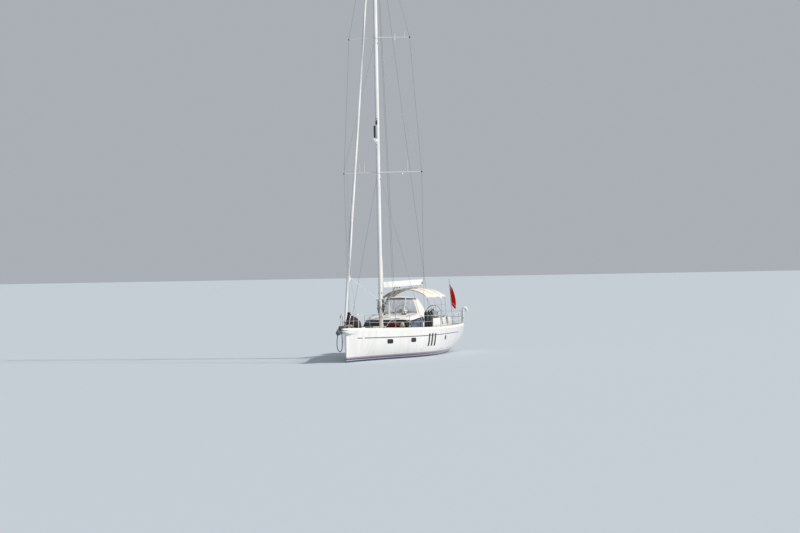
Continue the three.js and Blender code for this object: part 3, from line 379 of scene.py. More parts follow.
def makeGlass(name, tint=(0.012, 0.016, 0.022), rough=0.12):
    # dark glazing that shows only its gloss, with salt spray dried on it
    material, tree, shader = newFinish(name, tint, rough, Specular_IOR_Level=0.35)
    spray = speckle(tree, 14.0, 8.0, 0.6)
    feed(shader, "Base Color", ramp(tree, spray, [(0.5, tint), (0.85, (0.022, 0.027, 0.034))]))
    feed(shader, "Roughness", grey(tree, spray, rough, rough + 0.12, 0.45, 0.8))
    return material


def makeBoomPaint():
    # white above, dark anodised strut below
    material, tree, shader = newFinish("boomPaint", (0.84, 0.84, 0.83), 0.3, Coat_Weight=0.3)
    height = axes(tree)["Z"]
    below = maths(tree, "LESS_THAN", height, 3.735)
    drift = speckle(tree, 0.9, 6.0)
    white = ramp(tree, drift, [(0.34, (0.76, 0.76, 0.75)), (0.6, (0.84, 0.84, 0.83))])
    dark = ramp(tree, drift, [(0.34, (0.16, 0.165, 0.175)), (0.6, (0.24, 0.245, 0.255))])
    feed(shader, "Base Color", mixed(tree, below, white, dark))
    feed(shader, "Roughness", grey(tree, drift, 0.24, 0.42, 0.3, 0.7))
    bumps(tree, shader, [(speckle(tree, 34.0, 3.0), 0.0005, 0.4)])
    return material


def makeToeRail():
    # white bulwark strip below, polished posts and cleats above it
    material, tree, shader = newFinish("toeRail", (0.83, 0.825, 0.8), 0.3)
    parts = axes(tree)
    shifted = maths(tree, "ADD", parts["X"], 4.0)
    square = maths(tree, "MULTIPLY", shifted, shifted)
    sheer = maths(tree, "MULTIPLY_ADD", square, 0.00155, 1.482 + 0.067)
    above = maths(tree, "GREATER_THAN", parts["Z"], sheer)
    grime = speckle(tree, 3.0, 6.0)
    strip = ramp(tree, grime, [(0.34, (0.74, 0.72, 0.67)), (0.6, (0.84, 0.835, 0.81))])
    polished = ramp(tree, grime, [(0.34, (0.55, 0.56, 0.57)), (0.6, (0.68, 0.69, 0.7))])
    feed(shader, "Base Color", mixed(tree, above, strip, polished))
    feed(shader, "Metallic", above)
    feed(shader, "Roughness", grey(tree, grime, 0.2, 0.36, 0.3, 0.7))
    bumps(tree, shader, [(speckle(tree, 60.0, 3.0), 0.0005, 0.4)])
    return material


def makeRope(name, colour, fleck, turns=70.0):
    # braided rope, with a coloured fleck running round it
    material, tree, shader = newFinish(name, colour, 0.85, Sheen_Weight=0.2)
    braid = addNode(
        tree, "ShaderNodeTexWave",
        {"Vector": place(tree, (1, 1, 1), (0.6, 0.5, 0.4)), "Scale": turns, "Distortion": 1.5}
    ).outputs["Fac"]
    feed(shader, "Base Color", ramp(tree, braid, [(0.55, colour), (0.8, fleck)]))
    bumps(tree, shader, [(braid, 0.001, 0.5)])
    return material


paint = {
    "hull": makeHullPaint(),
    "gelcoat": aged("gelcoat", (0.85, 0.845, 0.82), (0.77, 0.755, 0.71), 0.3, scale=1.4, Coat_Weight=0.3),
    "nonskid": aged(
        "nonskidGelcoat", (0.8, 0.79, 0.75), (0.7, 0.69, 0.64), 0.7, scale=1.1, grain=160.0, depth=0.003
    ),
    "deck": makeTeak("teakDeck", edges=True),
    "toeRail": makeToeRail(),
    "boomPaint": makeBoomPaint(),
    "teak": makeTeak("teakSlats"),
    "joinery": makeTeak("saloonJoinery", 0.12, 1, (0.36, 0.2, 0.1), (0.24, 0.12, 0.055)),
    "teakCapping": makeTeak("teakCapping", 0.6, 0, (0.42, 0.31, 0.2), (0.3, 0.21, 0.13)),
    "antifouling": aged(
        "antifouling", (0.02, 0.075, 0.105), (0.012, 0.04, 0.06), 0.72, scale=2.0, grain=80.0, depth=0.002
    ),
    "bronze": makeBrushed("bronze", (0.42, 0.27, 0.12), 0.42),
    "glass": makeGlass("tintedGlass"),
    "glassBlack": makeGlass("windowSurround", (0.008, 0.01, 0.013), 0.16),
    "screen": makeGlass("instrumentGlass", (0.02, 0.028, 0.03), 0.08),
    "cushion": makeCloth("cushionCloth", (0.1, 0.13, 0.2), (0.07, 0.09, 0.15), 800.0, 0.01, 0.1),
    "hatchGlass": makeGlass("hatchAcrylic", (0.03, 0.035, 0.04), 0.12),
    "spar": aged(
        "sparPaint", (0.83, 0.83, 0.82), (0.74, 0.74, 0.73), 0.32, scale=0.8, grain=30.0, Coat_Weight=0.3
    ),
    "plastic": aged("whitePlastic", (0.8, 0.8, 0.79), (0.72, 0.72, 0.7), 0.42, grain=120.0),
    "canvas": makeCloth("creamCanvas", (0.8, 0.76, 0.7), (0.7, 0.66, 0.61)),
    "sailcloth": makeCloth("sailcloth", (0.82, 0.81, 0.78), (0.72, 0.71, 0.67), 700.0, 0.03, 0.03, 0.6),
    "sunStrip": makeCloth("sunStrip", (0.5, 0.52, 0.58), (0.42, 0.44, 0.5), 700.0, 0.02, 0.03, 0.8),
    "rubber": makeCloth("fenderCover", (0.02, 0.022, 0.027), (0.012, 0.013, 0.016), 900.0, 0.006, 0.04),
    "flag": makeCloth("redFlag", (0.92, 0.035, 0.022), (0.76, 0.024, 0.016), 1100.0, 0.02, 0.03),
    "flagPale": makeCloth("paleFlag", (0.75, 0.62, 0.62), (0.6, 0.45, 0.47), 1100.0, 0.02, 0.03),
    "blueCanvas": makeCloth("blueCanvas", (0.13, 0.165, 0.26), (0.075, 0.095, 0.17), 700.0, 0.03),
    "maroonCanvas": makeCloth("maroonCanvas", (0.17, 0.035, 0.03), (0.09, 0.02, 0.02), 700.0, 0.035),
    "tanCanvas": makeCloth("tanCanvas", (0.6, 0.52, 0.34), (0.44, 0.37, 0.24), 700.0, 0.035),
    "brownCanvas": makeCloth("brownCanvas", (0.05, 0.02, 0.024), (0.018, 0.01, 0.014), 700.0, 0.035),
    "steel": makeBrushed("stainless", (0.68, 0.69, 0.7), 0.2),
    # brighter than the stainless: the sun's glint on the pulpit and pushpit is painted into this colour
    "polished": makeBrushed("polishedRailPaintedGlint", (0.88, 0.88, 0.89), 0.3),
    # painted shade: a dark teal that stands for the shade the anchor and its roller lie in, not the steel's
    # own colour
    "steelInPaintedShade": aged(
        "steelInPaintedShade", (0.06, 0.085, 0.09), (0.03, 0.045, 0.05), 0.5, 0.3, scale=5.0, grain=90.0, depth=0.001
    ),
    "wire": makeBrushed("riggingWire", (0.42, 0.43, 0.45), 0.32, (12.0, 12.0, 90.0)),
    "railCoat": aged("railCoating", (0.82, 0.82, 0.8), (0.72, 0.72, 0.7), 0.45, scale=3.0),
    "alloyFrame": makeBrushed("hatchFrame", (0.55, 0.56, 0.57), 0.38),
    "black": aged("blackPlastic", (0.018, 0.019, 0.021), (0.03, 0.03, 0.032), 0.5, grain=140.0),
    "stripePale": aged("paleStripeTape", (0.24, 0.26, 0.36), (0.19, 0.205, 0.29), 0.35, scale=2.0),
    "ropeWhite": makeRope("whiteRope", (0.72, 0.71, 0.66), (0.5, 0.5, 0.47)),
    "ropeBright": makeRope("brightRope", (0.84, 0.83, 0.8), (0.7, 0.7, 0.68)),
    "ropeBlue": makeRope("blueFleckRope", (0.7, 0.7, 0.68), (0.06, 0.12, 0.35)),
    "ropeRed": makeRope("redFleckRope", (0.68, 0.67, 0.65), (0.45, 0.04, 0.04)),
    "ropeDark": makeRope("darkRope", (0.05, 0.05, 0.06), (0.12, 0.12, 0.13)),
    "ropeNavy": makeRope("navyRope", (0.015, 0.028, 0.075), (0.03, 0.045, 0.11)),
    "leather": aged(
        "rimLeather", (0.62, 0.6, 0.57), (0.5, 0.48, 0.45), 0.65, scale=6.0, grain=220.0, depth=0.001
    ),
    "galvanised": makeBrushed("galvanisedChain", (0.34, 0.35, 0.36), 0.5),
    "redLens": newFinish("redLens", (0.35, 0.01, 0.01), 0.15)[0],
    "greenLens": newFinish("greenLens", (0.01, 0.25, 0.06), 0.15)[0],
}
print("materials made:", len(paint))


# shared tools
def smoothingGroup():
    # geometry nodes that keep creases sharp and shade the rest smooth
    group = bpy.data.node_groups.new("softShading", "GeometryNodeTree")
    group.interface.new_socket("Geometry", in_out="INPUT", socket_type="NodeSocketGeometry")
    group.interface.new_socket("Crease", in_out="INPUT", socket_type="NodeSocketFloat")
    group.interface.new_socket("Geometry", in_out="OUTPUT", socket_type="NodeSocketGeometry")
    source, target = group.nodes.new("NodeGroupInput"), group.nodes.new("NodeGroupOutput")
    angle = group.nodes.new("GeometryNodeInputMeshEdgeAngle")
    soft = group.nodes.new("FunctionNodeCompare")
    soft.data_type, soft.operation = "FLOAT", "LESS_EQUAL"
    faces = group.nodes.new("GeometryNodeSetShadeSmooth")
    edges = group.nodes.new("GeometryNodeSetShadeSmooth")
    edges.domain = "EDGE"
    link = group.links.new
    link(source.outputs["Geometry"], faces.inputs["Geometry"])
    link(faces.outputs["Geometry"], edges.inputs["Geometry"])
    link(angle.outputs["Unsigned Angle"], soft.inputs[0])
    link(source.outputs["Crease"], soft.inputs[1])
    link(soft.outputs["Result"], edges.inputs["Shade Smooth"])
    link(edges.outputs["Geometry"], target.inputs["Geometry"])
    return group


softShading = smoothingGroup()


def soften(piece, crease=35.0):
    modifier = piece.modifiers.new("softShading", "NODES")
    modifier.node_group = softShading
    modifier["Socket_1"] = math.radians(crease)


def dress(name, material, crease=35.0, edge=0.0):
    # gives a carried-over CAD node its finish, welded so that it shades smoothly
    node = nodes[name]
    node.data.materials.clear()
    node.data.materials.append(paint[material])
    if "custom_normal" in node.data.attributes:
        node.data.attributes.remove(node.data.attributes["custom_normal"])
    weld = node.modifiers.new("weld", "WELD")
    weld.merge_threshold = 0.0001
    if edge:
        bevel = node.modifiers.new("edge", "BEVEL")
        bevel.width, bevel.segments, bevel.limit_method = edge, 2, "ANGLE"
        bevel.angle_limit = math.radians(40)
    soften(node, crease)


def treeOf(*names):
    bm = bmesh.new()
    for name in names:
        bm.from_mesh(nodes[name].data)
    tree = BVHTree.FromBMesh(bm)
    bm.free()
    return tree


class Piece:
    # one mesh under construction, with several finishes if need be

    def __init__(self, name, *finishes):
        self.name, self.bm, self.finishes, self.index = name, bmesh.new(), finishes, 0
        self.uv = self.bm.loops.layers.uv.new("UVMap")

    def mark(self, faces):
        for face in faces:
            face.material_index = self.index

    def block(self, low, high, bevel=0.0):
        low, high = Vector(low), Vector(high)
        made = bmesh.ops.create_cube(self.bm, size=1.0)["verts"]
        centre, size = (low + high) / 2, high - low
        for v in made:
            v.co = Vector((v.co.x * size.x, v.co.y * size.y, v.co.z * size.z)) + centre
        if bevel:
            edges = list({e for v in made for e in v.link_edges})
            made = bmesh.ops.bevel(
                self.bm, geom=edges, offset=bevel, segments=2, affect="EDGES", profile=0.5, material=-1,
                clamp_overlap=True,
            )["verts"]
        self.mark({f for v in made for f in v.link_faces})
        return made

    def bar(self, start, end, radius, endRadius=None, sides=14):
        start, end = Vector(start), Vector(end)
        aim = end - start
        turn = aim.to_track_quat("Z", "Y").to_matrix().to_4x4()
        made = bmesh.ops.create_cone(
            self.bm, cap_ends=True, segments=sides, radius1=radius,
            radius2=radius if endRadius is None else endRadius, depth=aim.length,
            matrix=Matrix.Translation((start + end) / 2) @ turn,
        )["verts"]
        self.mark({f for v in made for f in v.link_faces})
        return made

    def ball(self, at, radius, stretch=(1, 1, 1), sides=16):
        scale = Matrix.Diagonal((*[radius * s for s in stretch], 1.0))
        made = bmesh.ops.create_uvsphere(
            self.bm, u_segments=sides, v_segments=sides // 2, radius=1.0,
            matrix=Matrix.Translation(at) @ scale,
        )["verts"]
        self.mark({f for v in made for f in v.link_faces})
        return made

    def turned(self, profile, at=(0, 0, 0), aim=(0, 0, 1), sides=24):
        # a profile of (radius, height) pairs spun round an axis
        turn = Matrix.Translation(at) @ Vector(aim).to_track_quat("Z", "Y").to_matrix().to_4x4()
        before = set(self.bm.verts)
        points = [self.bm.verts.new((max(r, 0.0), 0, h)) for r, h in profile]
        edges = [self.bm.edges.new(pair) for pair in zip(points, points[1:])]
        bmesh.ops.spin(
            self.bm, geom=points + edges, cent=(0, 0, 0), axis=(0, 0, 1), angle=math.tau,
            steps=sides, use_merge=True,
        )
        made = [v for v in self.bm.verts if v not in before]
        bmesh.ops.remove_doubles(self.bm, verts=made, dist=0.00002)
        made = [v for v in self.bm.verts if v not in before]
        faces = list({f for v in made for f in v.link_faces})
        bmesh.ops.recalc_face_normals(self.bm, faces=faces)
        bmesh.ops.transform(self.bm, matrix=turn, verts=made)
        self.mark(faces)
        return made

    def loft(self, rings, capped=True):
        # a skin through rings that all have the same number of points
        loops = []
        for ring in rings:
            verts = [self.bm.verts.new(p) for p in ring]
            loops.append((verts, [self.bm.edges.new((verts[i - 1], verts[i])) for i in range(len(verts))]))
        faces = []
        for (_, a), (_, b) in zip(loops, loops[1:]):
            faces += bmesh.ops.bridge_loops(self.bm, edges=a + b)["faces"]
        if capped:
            faces += [self.bm.faces.new(loops[0][0]), self.bm.faces.new(loops[-1][0])]
        bmesh.ops.recalc_face_normals(self.bm, faces=faces)
        self.mark(faces)
        return faces

    def tube(self, path, radius, sides=8):
        # a round tube through points, closed at both ends
        path = [Vector(p) for p in path]
        rings, normal = [], None
        for i, p in enumerate(path):
            aim = (path[min(i + 1, len(path) - 1)] - path[max(i - 1, 0)]).normalized()
            if normal is None:
                normal = aim.orthogonal().normalized()
            normal = (normal - aim * normal.dot(aim)).normalized()
            other = aim.cross(normal)
            size = radius(i / (len(path) - 1)) if callable(radius) else radius
            rings.append([
                p + (
                    normal * math.cos(math.tau * k / sides) + other * math.sin(math.tau * k / sides)
                ) * size
                for k in range(sides)
            ])
        return self.loft(rings)

    def outward(self):
        bmesh.ops.recalc_face_normals(self.bm, faces=self.bm.faces)

    def weld(self, distance):
        bmesh.ops.remove_doubles(self.bm, verts=list(self.bm.verts), dist=distance)

    def done(
        self, body="yacht", slot=None, replaces=(), crease=40.0, bevel=0.0, thickness=0.0, subdivide=0
    ):
        mesh = bpy.data.meshes.new(self.name)
        self.bm.to_mesh(mesh)
        self.bm.free()
        piece = bpy.data.objects.new(self.name, mesh)
        bpy.context.scene.collection.objects.link(piece)
        for finish in self.finishes:
            mesh.materials.append(paint[finish])
        if subdivide:
            modifier = piece.modifiers.new("smooth", "SUBSURF")
            modifier.levels = modifier.render_levels = subdivide
        if thickness:
            modifier = piece.modifiers.new("thickness", "SOLIDIFY")
            modifier.thickness, modifier.offset = thickness, -1.0
        if bevel:
            modifier = piece.modifiers.new("edge", "BEVEL")
            modifier.width, modifier.segments, modifier.limit_method = bevel, 2, "ANGLE"
        soften(piece, crease)
        if body:
            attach(piece, body)
        if replaces:
            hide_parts(*replaces)
        return piece


def vertsOf(geometry):
    return [g for g in geometry if isinstance(g, bmesh.types.BMVert)]


def wires(name, paths, radius, finish, body="yacht", sides=3):
    # round wires or rods, one spline for each path
    curve = bpy.data.curves.new(name, "CURVE")
    curve.dimensions, curve.use_fill_caps = "3D", True
    curve.bevel_depth, curve.bevel_resolution = radius, sides - 1
    for path in paths:
        spline = curve.splines.new("POLY")
        spline.points.add(len(path) - 1)
        for point, at in zip(spline.points, path):
            point.co = (*at, 1.0)
    piece = bpy.data.objects.new(name, curve)
    bpy.context.scene.collection.objects.link(piece)
    curve.materials.append(paint[finish])
    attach(piece, body)
    return piece


def sheave(rim, groove):
    # the profile of a rope block's wheel
    return [(0.0, -0.012), (rim, -0.012), (groove, 0.0), (rim, 0.012), (0.0, 0.012)]


def sag(a, b, drop, count=16):
    # points of a line that hangs a little between two ends
    a, b = Vector(a), Vector(b)
    return [a.lerp(b, i / count) - lift(4 * drop * (i / count) * (1 - i / count)) for i in range(count + 1)]


# carried-over nodes: finish, crease angle, worn edge and the names that share them
for finish, crease, edge, names in (
    ("hull", 28, 0, "hull"),
    ("deck", 30, 0, "deck"),
    ("gelcoat", 38, 0, "coachroof"),
    ("gelcoat", 35, 0.006, "cockpit"),
    ("antifouling", 40, 0, "keel rudder"),
    ("bronze", 40, 0, "shaft_bracket propeller"),
    ("glass", 40, 0, "window_front window_port window_starboard"),
    ("gelcoat", 40, 0.004, "companionway_hatch"),
    ("teakCapping", 40, 0.003, "companionway_door"),
    ("joinery", 40, 0.006, "saloon_fitout"),
    ("steel", 50, 0, "steering_wheel_port steering_wheel_starboard bimini_frame ensign_staff swim_ladder"),
    ("teak", 40, 0.004, "locker_lid_port locker_lid_starboard"),
    ("nonskid", 40, 0.006, "anchor_locker_lid lazarette_lid_port lazarette_lid_starboard"),
    ("hatchGlass", 40, 0.006, "fore_hatch aft_hatch"),
    ("toeRail", 50, 0, "toe_rail_port toe_rail_starboard"),
    # the pulpit and pushpit take the rail steel with its painted glint
    ("polished", 55, 0, "pulpit pushpit"),
    # the bow roller and the anchor take the steel with painted shade
    ("steelInPaintedShade", 40, 0.002, "bow_roller"),
    ("steelInPaintedShade", 40, 0.003, "anchor"),
    ("steel", 40, 0.002, "windlass"),
    ("spar", 40, 0, "mast"),
    ("plastic", 50, 0, "radome masthead_unit rescue_gear"),
    ("wire", 50, 0, "shrouds_port shrouds_starboard backstay forestay"),
    ("spar", 50, 0, "spreaders_lower spreaders_upper"),
    ("boomPaint", 40, 0, "boom"),
    ("steel", 40, 0, "winch_forward_port winch_forward_starboard winch_aft_port winch_aft_starboard"),
    ("sailcloth", 50, 0, "genoa"),
    ("canvas", 40, 0, "sprayhood bimini"),
    ("flag", 40, 0, "ensign"),
    ("rubber", 50, 0, "fender_1 fender_2 fender_3"),
    ("blueCanvas", 50, 0, "blue_bag"),
    ("brownCanvas", 50, 0, "sail_bag"),
):
    for name in names.split():
        dress(name, finish, crease, edge)
print("nodes dressed")


# hull sides
hullSides = {
    # corners in x and z: top forward, top aft, bottom aft, bottom forward
    "windows": (
        ((4.88, 1.08), (4.38, 1.07), (4.33, 0.835), (4.83, 0.845)),
        ((2.71, 1.07), (2.21, 1.06), (2.19, 0.83), (2.7, 0.84)),
        ((0.67, 1.235), (0.48, 1.235), (0.65, 0.56), (0.85, 0.56)),
        ((0.26, 1.235), (0.06, 1.235), (0.25, 0.56), (0.45, 0.56)),
        ((-0.17, 1.23), (-0.38, 1.23), (-0.18, 0.55), (0.03, 0.55)),
        ((-2.04, 1.035), (-2.34, 1.035), (-2.27, 0.81), (-1.95, 0.81)),
    ),
}
hullTree = treeOf("hull")


def onHull(x, z, side, proud=0.0):
    # the point of the hull's skin at x and z, moved out by a little
    hit, normal, _, _ = hullTree.ray_cast(Vector((x, side * 4.0, z)), Vector((0, -side, 0)))
    if hit is None:
        return Vector((x, 0, z))
    return hit + normal * proud


def sheerAt(x):
    return 1.482 + 0.00155 * (x + 4.0) ** 2


for side, label in ((1, "port"), (-1, "starboard")):
    for number, corners in enumerate(hullSides["windows"]):
        # glass set in a rounded frame, both bent to the hull
        pane = Piece(f"hullWindow_{label}_{number}", "glass", "black")
        tall = abs(corners[0][1] - corners[2][1])
        wide = abs(corners[0][0] - corners[1][0])
        made = bmesh.ops.create_grid(
            pane.bm, x_segments=8, y_segments=max(6, int(tall / wide * 8)), size=1.0
        )["verts"]
        for v in made:
            u, w = v.co.x, v.co.y
            soft = 0.16 * min(wide, tall)
            du, dw = soft / wide, soft / tall
            if abs(u) > 0.99 and abs(w) > 0.99:
                u, w = u * (1 - 0.55 * du * 2), w * (1 - 0.55 * dw * 2)
            top = Vector(corners[0]).lerp(Vector(corners[1]), (u + 1) / 2)
            low = Vector(corners[3]).lerp(Vector(corners[2]), (u + 1) / 2)
            at = low.lerp(top, (w + 1) / 2)
            v.co = Vector((at.x, 0, at.y))
        outer = bmesh.ops.inset_region(
            pane.bm, faces=list(pane.bm.faces), thickness=0.02, depth=0.0, use_outset=True
        )["faces"]
        for face in outer:
            face.material_index = 1
        rim = {v for f in outer for v in f.verts}
        for v in pane.bm.verts:
            v.co = onHull(v.co.x, v.co.z, side, 0.009 if v in rim else 0.004)
        inner = bmesh.ops.extrude_face_region(pane.bm, geom=list(pane.bm.faces))
        for v in vertsOf(inner["geom"]):
            v.co.y -= side * 0.016
        pane.outward()
        pane.done(slot="tinted_glass")
print("hull sides done")


# sprayhood
sprayhood = {
    "top": 3.22, "low": 2.13, "aft": -2.47, "lean": 0.3, "narrow": 0.4, "crown": 0.09,
    "clear": (0.6, 0.62, 0.64), "panes": ((-1.0, 0.19), (0.23, 0.585)), "posts": (-0.61, 0.61),
    "strutAt": 0.235, "strut": 0.026, "shadowBandFrom": 0.9,
}


def hoodAt(u, t):
    # u runs from the port foot (-1) over the bow end to starboard (1); t from the foot to the crown
    foot = [(-2.46, 1.285), (-1.66, 1.205), (-0.99, 0.55), (-0.965, 0.0)]
    side = -1 if u > 0 else 1
    along = (1 - abs(u)) * 3
    i = min(int(along), 2)
    k = along - i
    after = foot[i + 2] if i < 2 else (foot[3][0], -foot[2][1])
    p0, p1, p2, p3 = foot[max(i - 1, 0)], foot[i], foot[i + 1], after
    spot = [
        0.5 * (2 * p1[c] + (p2[c] - p0[c]) * k + (2 * p0[c] - 5 * p1[c] + 4 * p2[c] - p3[c]) * k * k
               + (3 * p1[c] - p0[c] - 3 * p2[c] + p3[c]) * k ** 3)
        for c in (0, 1)
    ]
    forward = max(0.0, min(1.0, (spot[0] + 2.46) / 1.45))
    lean = t * (sprayhood["lean"] + 0.06 * math.sin(math.pi * t)) * forward
    narrow = 1 - sprayhood["narrow"] * t ** 1.3 * min(1.0, abs(spot[1]) / 1.285)
    bulge = 0.03 * math.sin(math.pi * min(t, 1.0)) * (1 if abs(u) < 0.8 else 0.5)
    low = sprayhood["low"] + 0.02 * (1 - forward)
    z = low + (sprayhood["top"] - low - sprayhood["crown"]) * t - 0.05 * t * (1 - forward)
    return Vector((spot[0] - lean + bulge * forward, side * abs(spot[1] * narrow + bulge * 0.4), z))


def hoodSkin(u, t):
    # the whole sheet: the wall up to t 0.55, then the roof, which closes over the middle
    wall = 0.55
    if t <= wall:
        return hoodAt(u, t / wall)
    share = (t - wall) / (1 - wall)
    edge = hoodAt(u, 1.0)
    back = sprayhood["aft"] + 0.03
    forward = max(0.0, min(1.0, (edge.x - back) / 0.9))
    x = edge.x + (min(edge.x, -1.62) - edge.x) * share * forward
    rise = sprayhood["crown"] * math.sin(share * math.pi / 2) ** 1.2
    return Vector((x, edge.y * (1 - share * 0.999), edge.z + rise))


def makeSprayhood():
    # wall and roof in one continuous sheet, with clear panels let in and a dark band of painted shadow just
    # under the crown
    hood = Piece("sprayhoodCloth", "canvas", "clearPanel", "hoodShadowBand")
    made = bmesh.ops.create_grid(hood.bm, x_segments=80, y_segments=26, size=1.0)["verts"]
    for face in hood.bm.faces:
        c = face.calc_center_median()
        high = (c.y + 1) / 2 / 0.55
        if 0.14 < high < sprayhood["shadowBandFrom"] and any(
            low < abs(c.x) < top for low, top in sprayhood["panes"]
        ):
            face.material_index = 1
        # the faces round the crown's edge carry the painted shadow band
        elif sprayhood["shadowBandFrom"] < high < 1.12 and abs(c.x) < 0.82:
            face.material_index = 2
    for v in made:
        at = hoodSkin(v.co.x, (v.co.y + 1) / 2)
        ripple = noise.noise(at * 3.2) * 0.01 + noise.noise(at * 9.0) * 0.003
        v.co = at + Vector((ripple * 0.5, 0, ripple))
    hood.weld(0.002)
    hood.outward()
    return hood


def clearPanel():
    material, tree, shader = newFinish(
        "clearPanel", sprayhood["clear"], 0.18, Transmission_Weight=0.85, IOR=1.1, Alpha=0.42
    )
    ripple = speckle(tree, 4.0, 4.0)
    feed(shader, "Roughness", grey(tree, ripple, 0.1, 0.35, 0.35, 0.7))
    bumps(tree, shader, [(ripple, 0.02, 0.3)])
    return material


paint["clearPanel"] = clearPanel()
# painted shadow: a dark cloth that stands for the shade under the hood's roof
paint["hoodShadowBand"] = makeCloth("hoodShadowBand", (0.115, 0.095, 0.085), (0.07, 0.06, 0.055))
hood = makeSprayhood()
hoodCloth = hood.done(slot="canvas", replaces=["sprayhood"], thickness=0.0015, crease=60)

# bound edges, struts and hoops of the hood
seams = []
for level in (0.0, 1.0):
    seams.append([hoodAt(-1 + 2 * i / 60, level) + Vector((0.004, 0, 0)) for i in range(61)])
for u in sprayhood["posts"]:
    seams.append([hoodAt(u, i / 12) + Vector((0.006, 0, 0)) for i in range(13)])
wires("sprayhoodBindings", seams, 0.011, "canvas")
struts = []
for side in (1, -1):
    struts.append([
        hoodAt(side * sprayhood["strutAt"], i / 12) + Vector((0.012, -side * 0.14 * (i / 12), 0))
        for i in range(13)
    ])
wires("sprayhoodStruts", struts, sprayhood["strut"], "railCoat", sides=5)
hoops = []
for u in (0.7, 0.985):
    half = [hoodSkin(u, 0.02 + 0.979 * i / 40) for i in range(41)]
    hoops.append([
        Vector((p.x - 0.012, p.y * side * 0.985, p.z - 0.024))
        for side, run in ((1, half), (-1, half[::-1])) for p in run
    ])
wires("sprayhoodHoops", hoops, 0.0125, "steel")
print("sprayhood done")


# bimini
bimini = {
    # x, half breadth, edge height, crown height
    "sections": (
        (-2.62, 1.24, 3.17, 3.56), (-3.5, 1.44, 3.17, 3.61), (-4.6, 1.52, 3.17, 3.63),
        (-5.62, 1.5, 3.16, 3.59)
    ),
    "sagBetween": 0.035, "skirt": 0.085, "scallop": 0.05,
}


def biminiAt(s, t):
    # s runs aft from 0 to 1, t from starboard (-1) to port (1)
    rows = bimini["sections"]
    x = rows[0][0] + (rows[-1][0] - rows[0][0]) * s
    i = max(j for j in range(3) if rows[j][0] >= x - 1e-9)
    k = (x - rows[i][0]) / (rows[i + 1][0] - rows[i][0])
    half, low, high = (rows[i][c] + (rows[i + 1][c] - rows[i][c]) * k for c in (1, 2, 3))
    slack = bimini["sagBetween"] * math.sin(math.pi * k) ** 2 * (1 - abs(t) ** 4)
    return Vector((x, half * t, low + (high - low) * (1 - abs(t) ** 2.6) - slack * 0.8))


def makeBimini():
    cloth = Piece("biminiCloth", "canvas")
    made = bmesh.ops.create_grid(cloth.bm, x_segments=72, y_segments=52, size=1.0)["verts"]
    for v in made:
        s, t = (v.co.x + 1) / 2, v.co.y
        at = biminiAt(s, t)
        ripple = noise.noise(Vector((at.x * 2.2, at.y * 1.6, 3.1))) * 0.012 + noise.noise(at * 7.0) * 0.004
        # short pulls fan out from the bows at the edges
        pull = 0.01 * math.sin(at.x * 24) * abs(t) ** 8
        at.z += (ripple - 0.01) * (1 - abs(t) ** 6) + pull * 0.3
        v.co = at
    # the side edges turn down into a scalloped skirt
    bays = [row[0] for row in bimini["sections"]]
    for side in (1, -1):
        rim = [
            e for e in cloth.bm.edges if e.is_boundary
            and all(abs(v.co.y) > 1.2 and v.co.z < 3.2 for v in e.verts)
            and all(v.co.y * side > 0 for v in e.verts)
        ]
        rim = [e for e in rim if abs(e.verts[0].co.x - e.verts[1].co.x) > 0.01]
        for step in range(4):
            grown = bmesh.ops.extrude_edge_only(cloth.bm, edges=rim)["geom"]
            rim = [
                g for g in grown if isinstance(g, bmesh.types.BMEdge) and g.is_boundary
                and abs(g.verts[0].co.x - g.verts[1].co.x) > 0.01
            ]
            for v in vertsOf(grown):
                share = min(abs(v.co.x - b) for b in bays)
                drop = bimini["skirt"] - bimini["scallop"] * min(1.0, share / 0.45)
                v.co.z -= drop / 4
                v.co.y += side * 0.002 * (1 + noise.noise(v.co * 6.0))
    cloth.outward()
    return cloth.done(slot="canvas", replaces=["bimini"], thickness=0.0015, crease=70)


biminiCloth = makeBimini()
pockets = []
for x in (-2.66, -3.5, -4.6, -5.58):
    s = (x + 2.62) / (-3.0)
    pockets.append([biminiAt(s, -0.97 + 1.94 * i / 40) + lift(0.006) for i in range(41)])
pockets.append([biminiAt(i / 40, 0.0) + lift(0.004) for i in range(41)])
wires("biminiPockets", pockets, 0.012, "canvas")
hems = [
    [biminiAt(end, -0.995 + 1.99 * i / 60) + Vector((shift, 0, 0.001)) for i in range(61)]
    for end, shift in ((0.0, 0.004), (1.0, -0.004))
]
wires("biminiHems", hems, 0.01, "canvas")
print("bimini done")


# guardrails
rails = {
    "posts": (6.3, 5.3, 4.1, 2.8, 1.5, 0.15, -1.3, -2.8, -4.3, -5.7, -6.9),
    "heights": (0.672, 0.36), "wire": 0.0065, "inset": 0.036,
    "pulpitEnd": ((7.248, 0.415, 2.425), (7.246, 0.411, 2.12)),
    "pushpitEnd": ((-6.99, 2.02, 2.235), (-6.99, 2.02, 1.92)),
}


def halfAt(x):
    # half breadth of the deck's edge, found on the hull itself
    return abs(onHull(x, sheerAt(x) - 0.09, 1).y)


wirePaths, screws = [], []
for side in (1, -1):
    for level, height in enumerate(rails["heights"]):
        x, y, z = rails["pulpitEnd"][level]
        path = [Vector((x, side * y, z))]
        for x in rails["posts"]:
            path.append(Vector((x, side * (halfAt(x) - rails["inset"] - 0.002), sheerAt(x) + height)))
        x, y, z = rails["pushpitEnd"][level]
        path.append(Vector((x, side * y, z)))
        drooped = []
        for a, b in zip(path, path[1:]):
            drooped += sag(a, b, 0.006, 6)[:-1]
        wirePaths.append(drooped + [path[-1]])
        screws += [(path[0], path[1]), (path[-1], path[-2])]
wires("guardWires", wirePaths, rails["wire"], "railCoat")
fittings = Piece("guardFittings", "steel")
for end, inner in screws:
    aim = (inner - end).normalized()
    fittings.bar(end + aim * 0.02, end + aim * 0.17, 0.0085, sides=10)
    fittings.bar(end + aim * 0.05, end + aim * 0.12, 0.012, sides=6)
    fittings.ball(end + aim * 0.02, 0.016, sides=10)
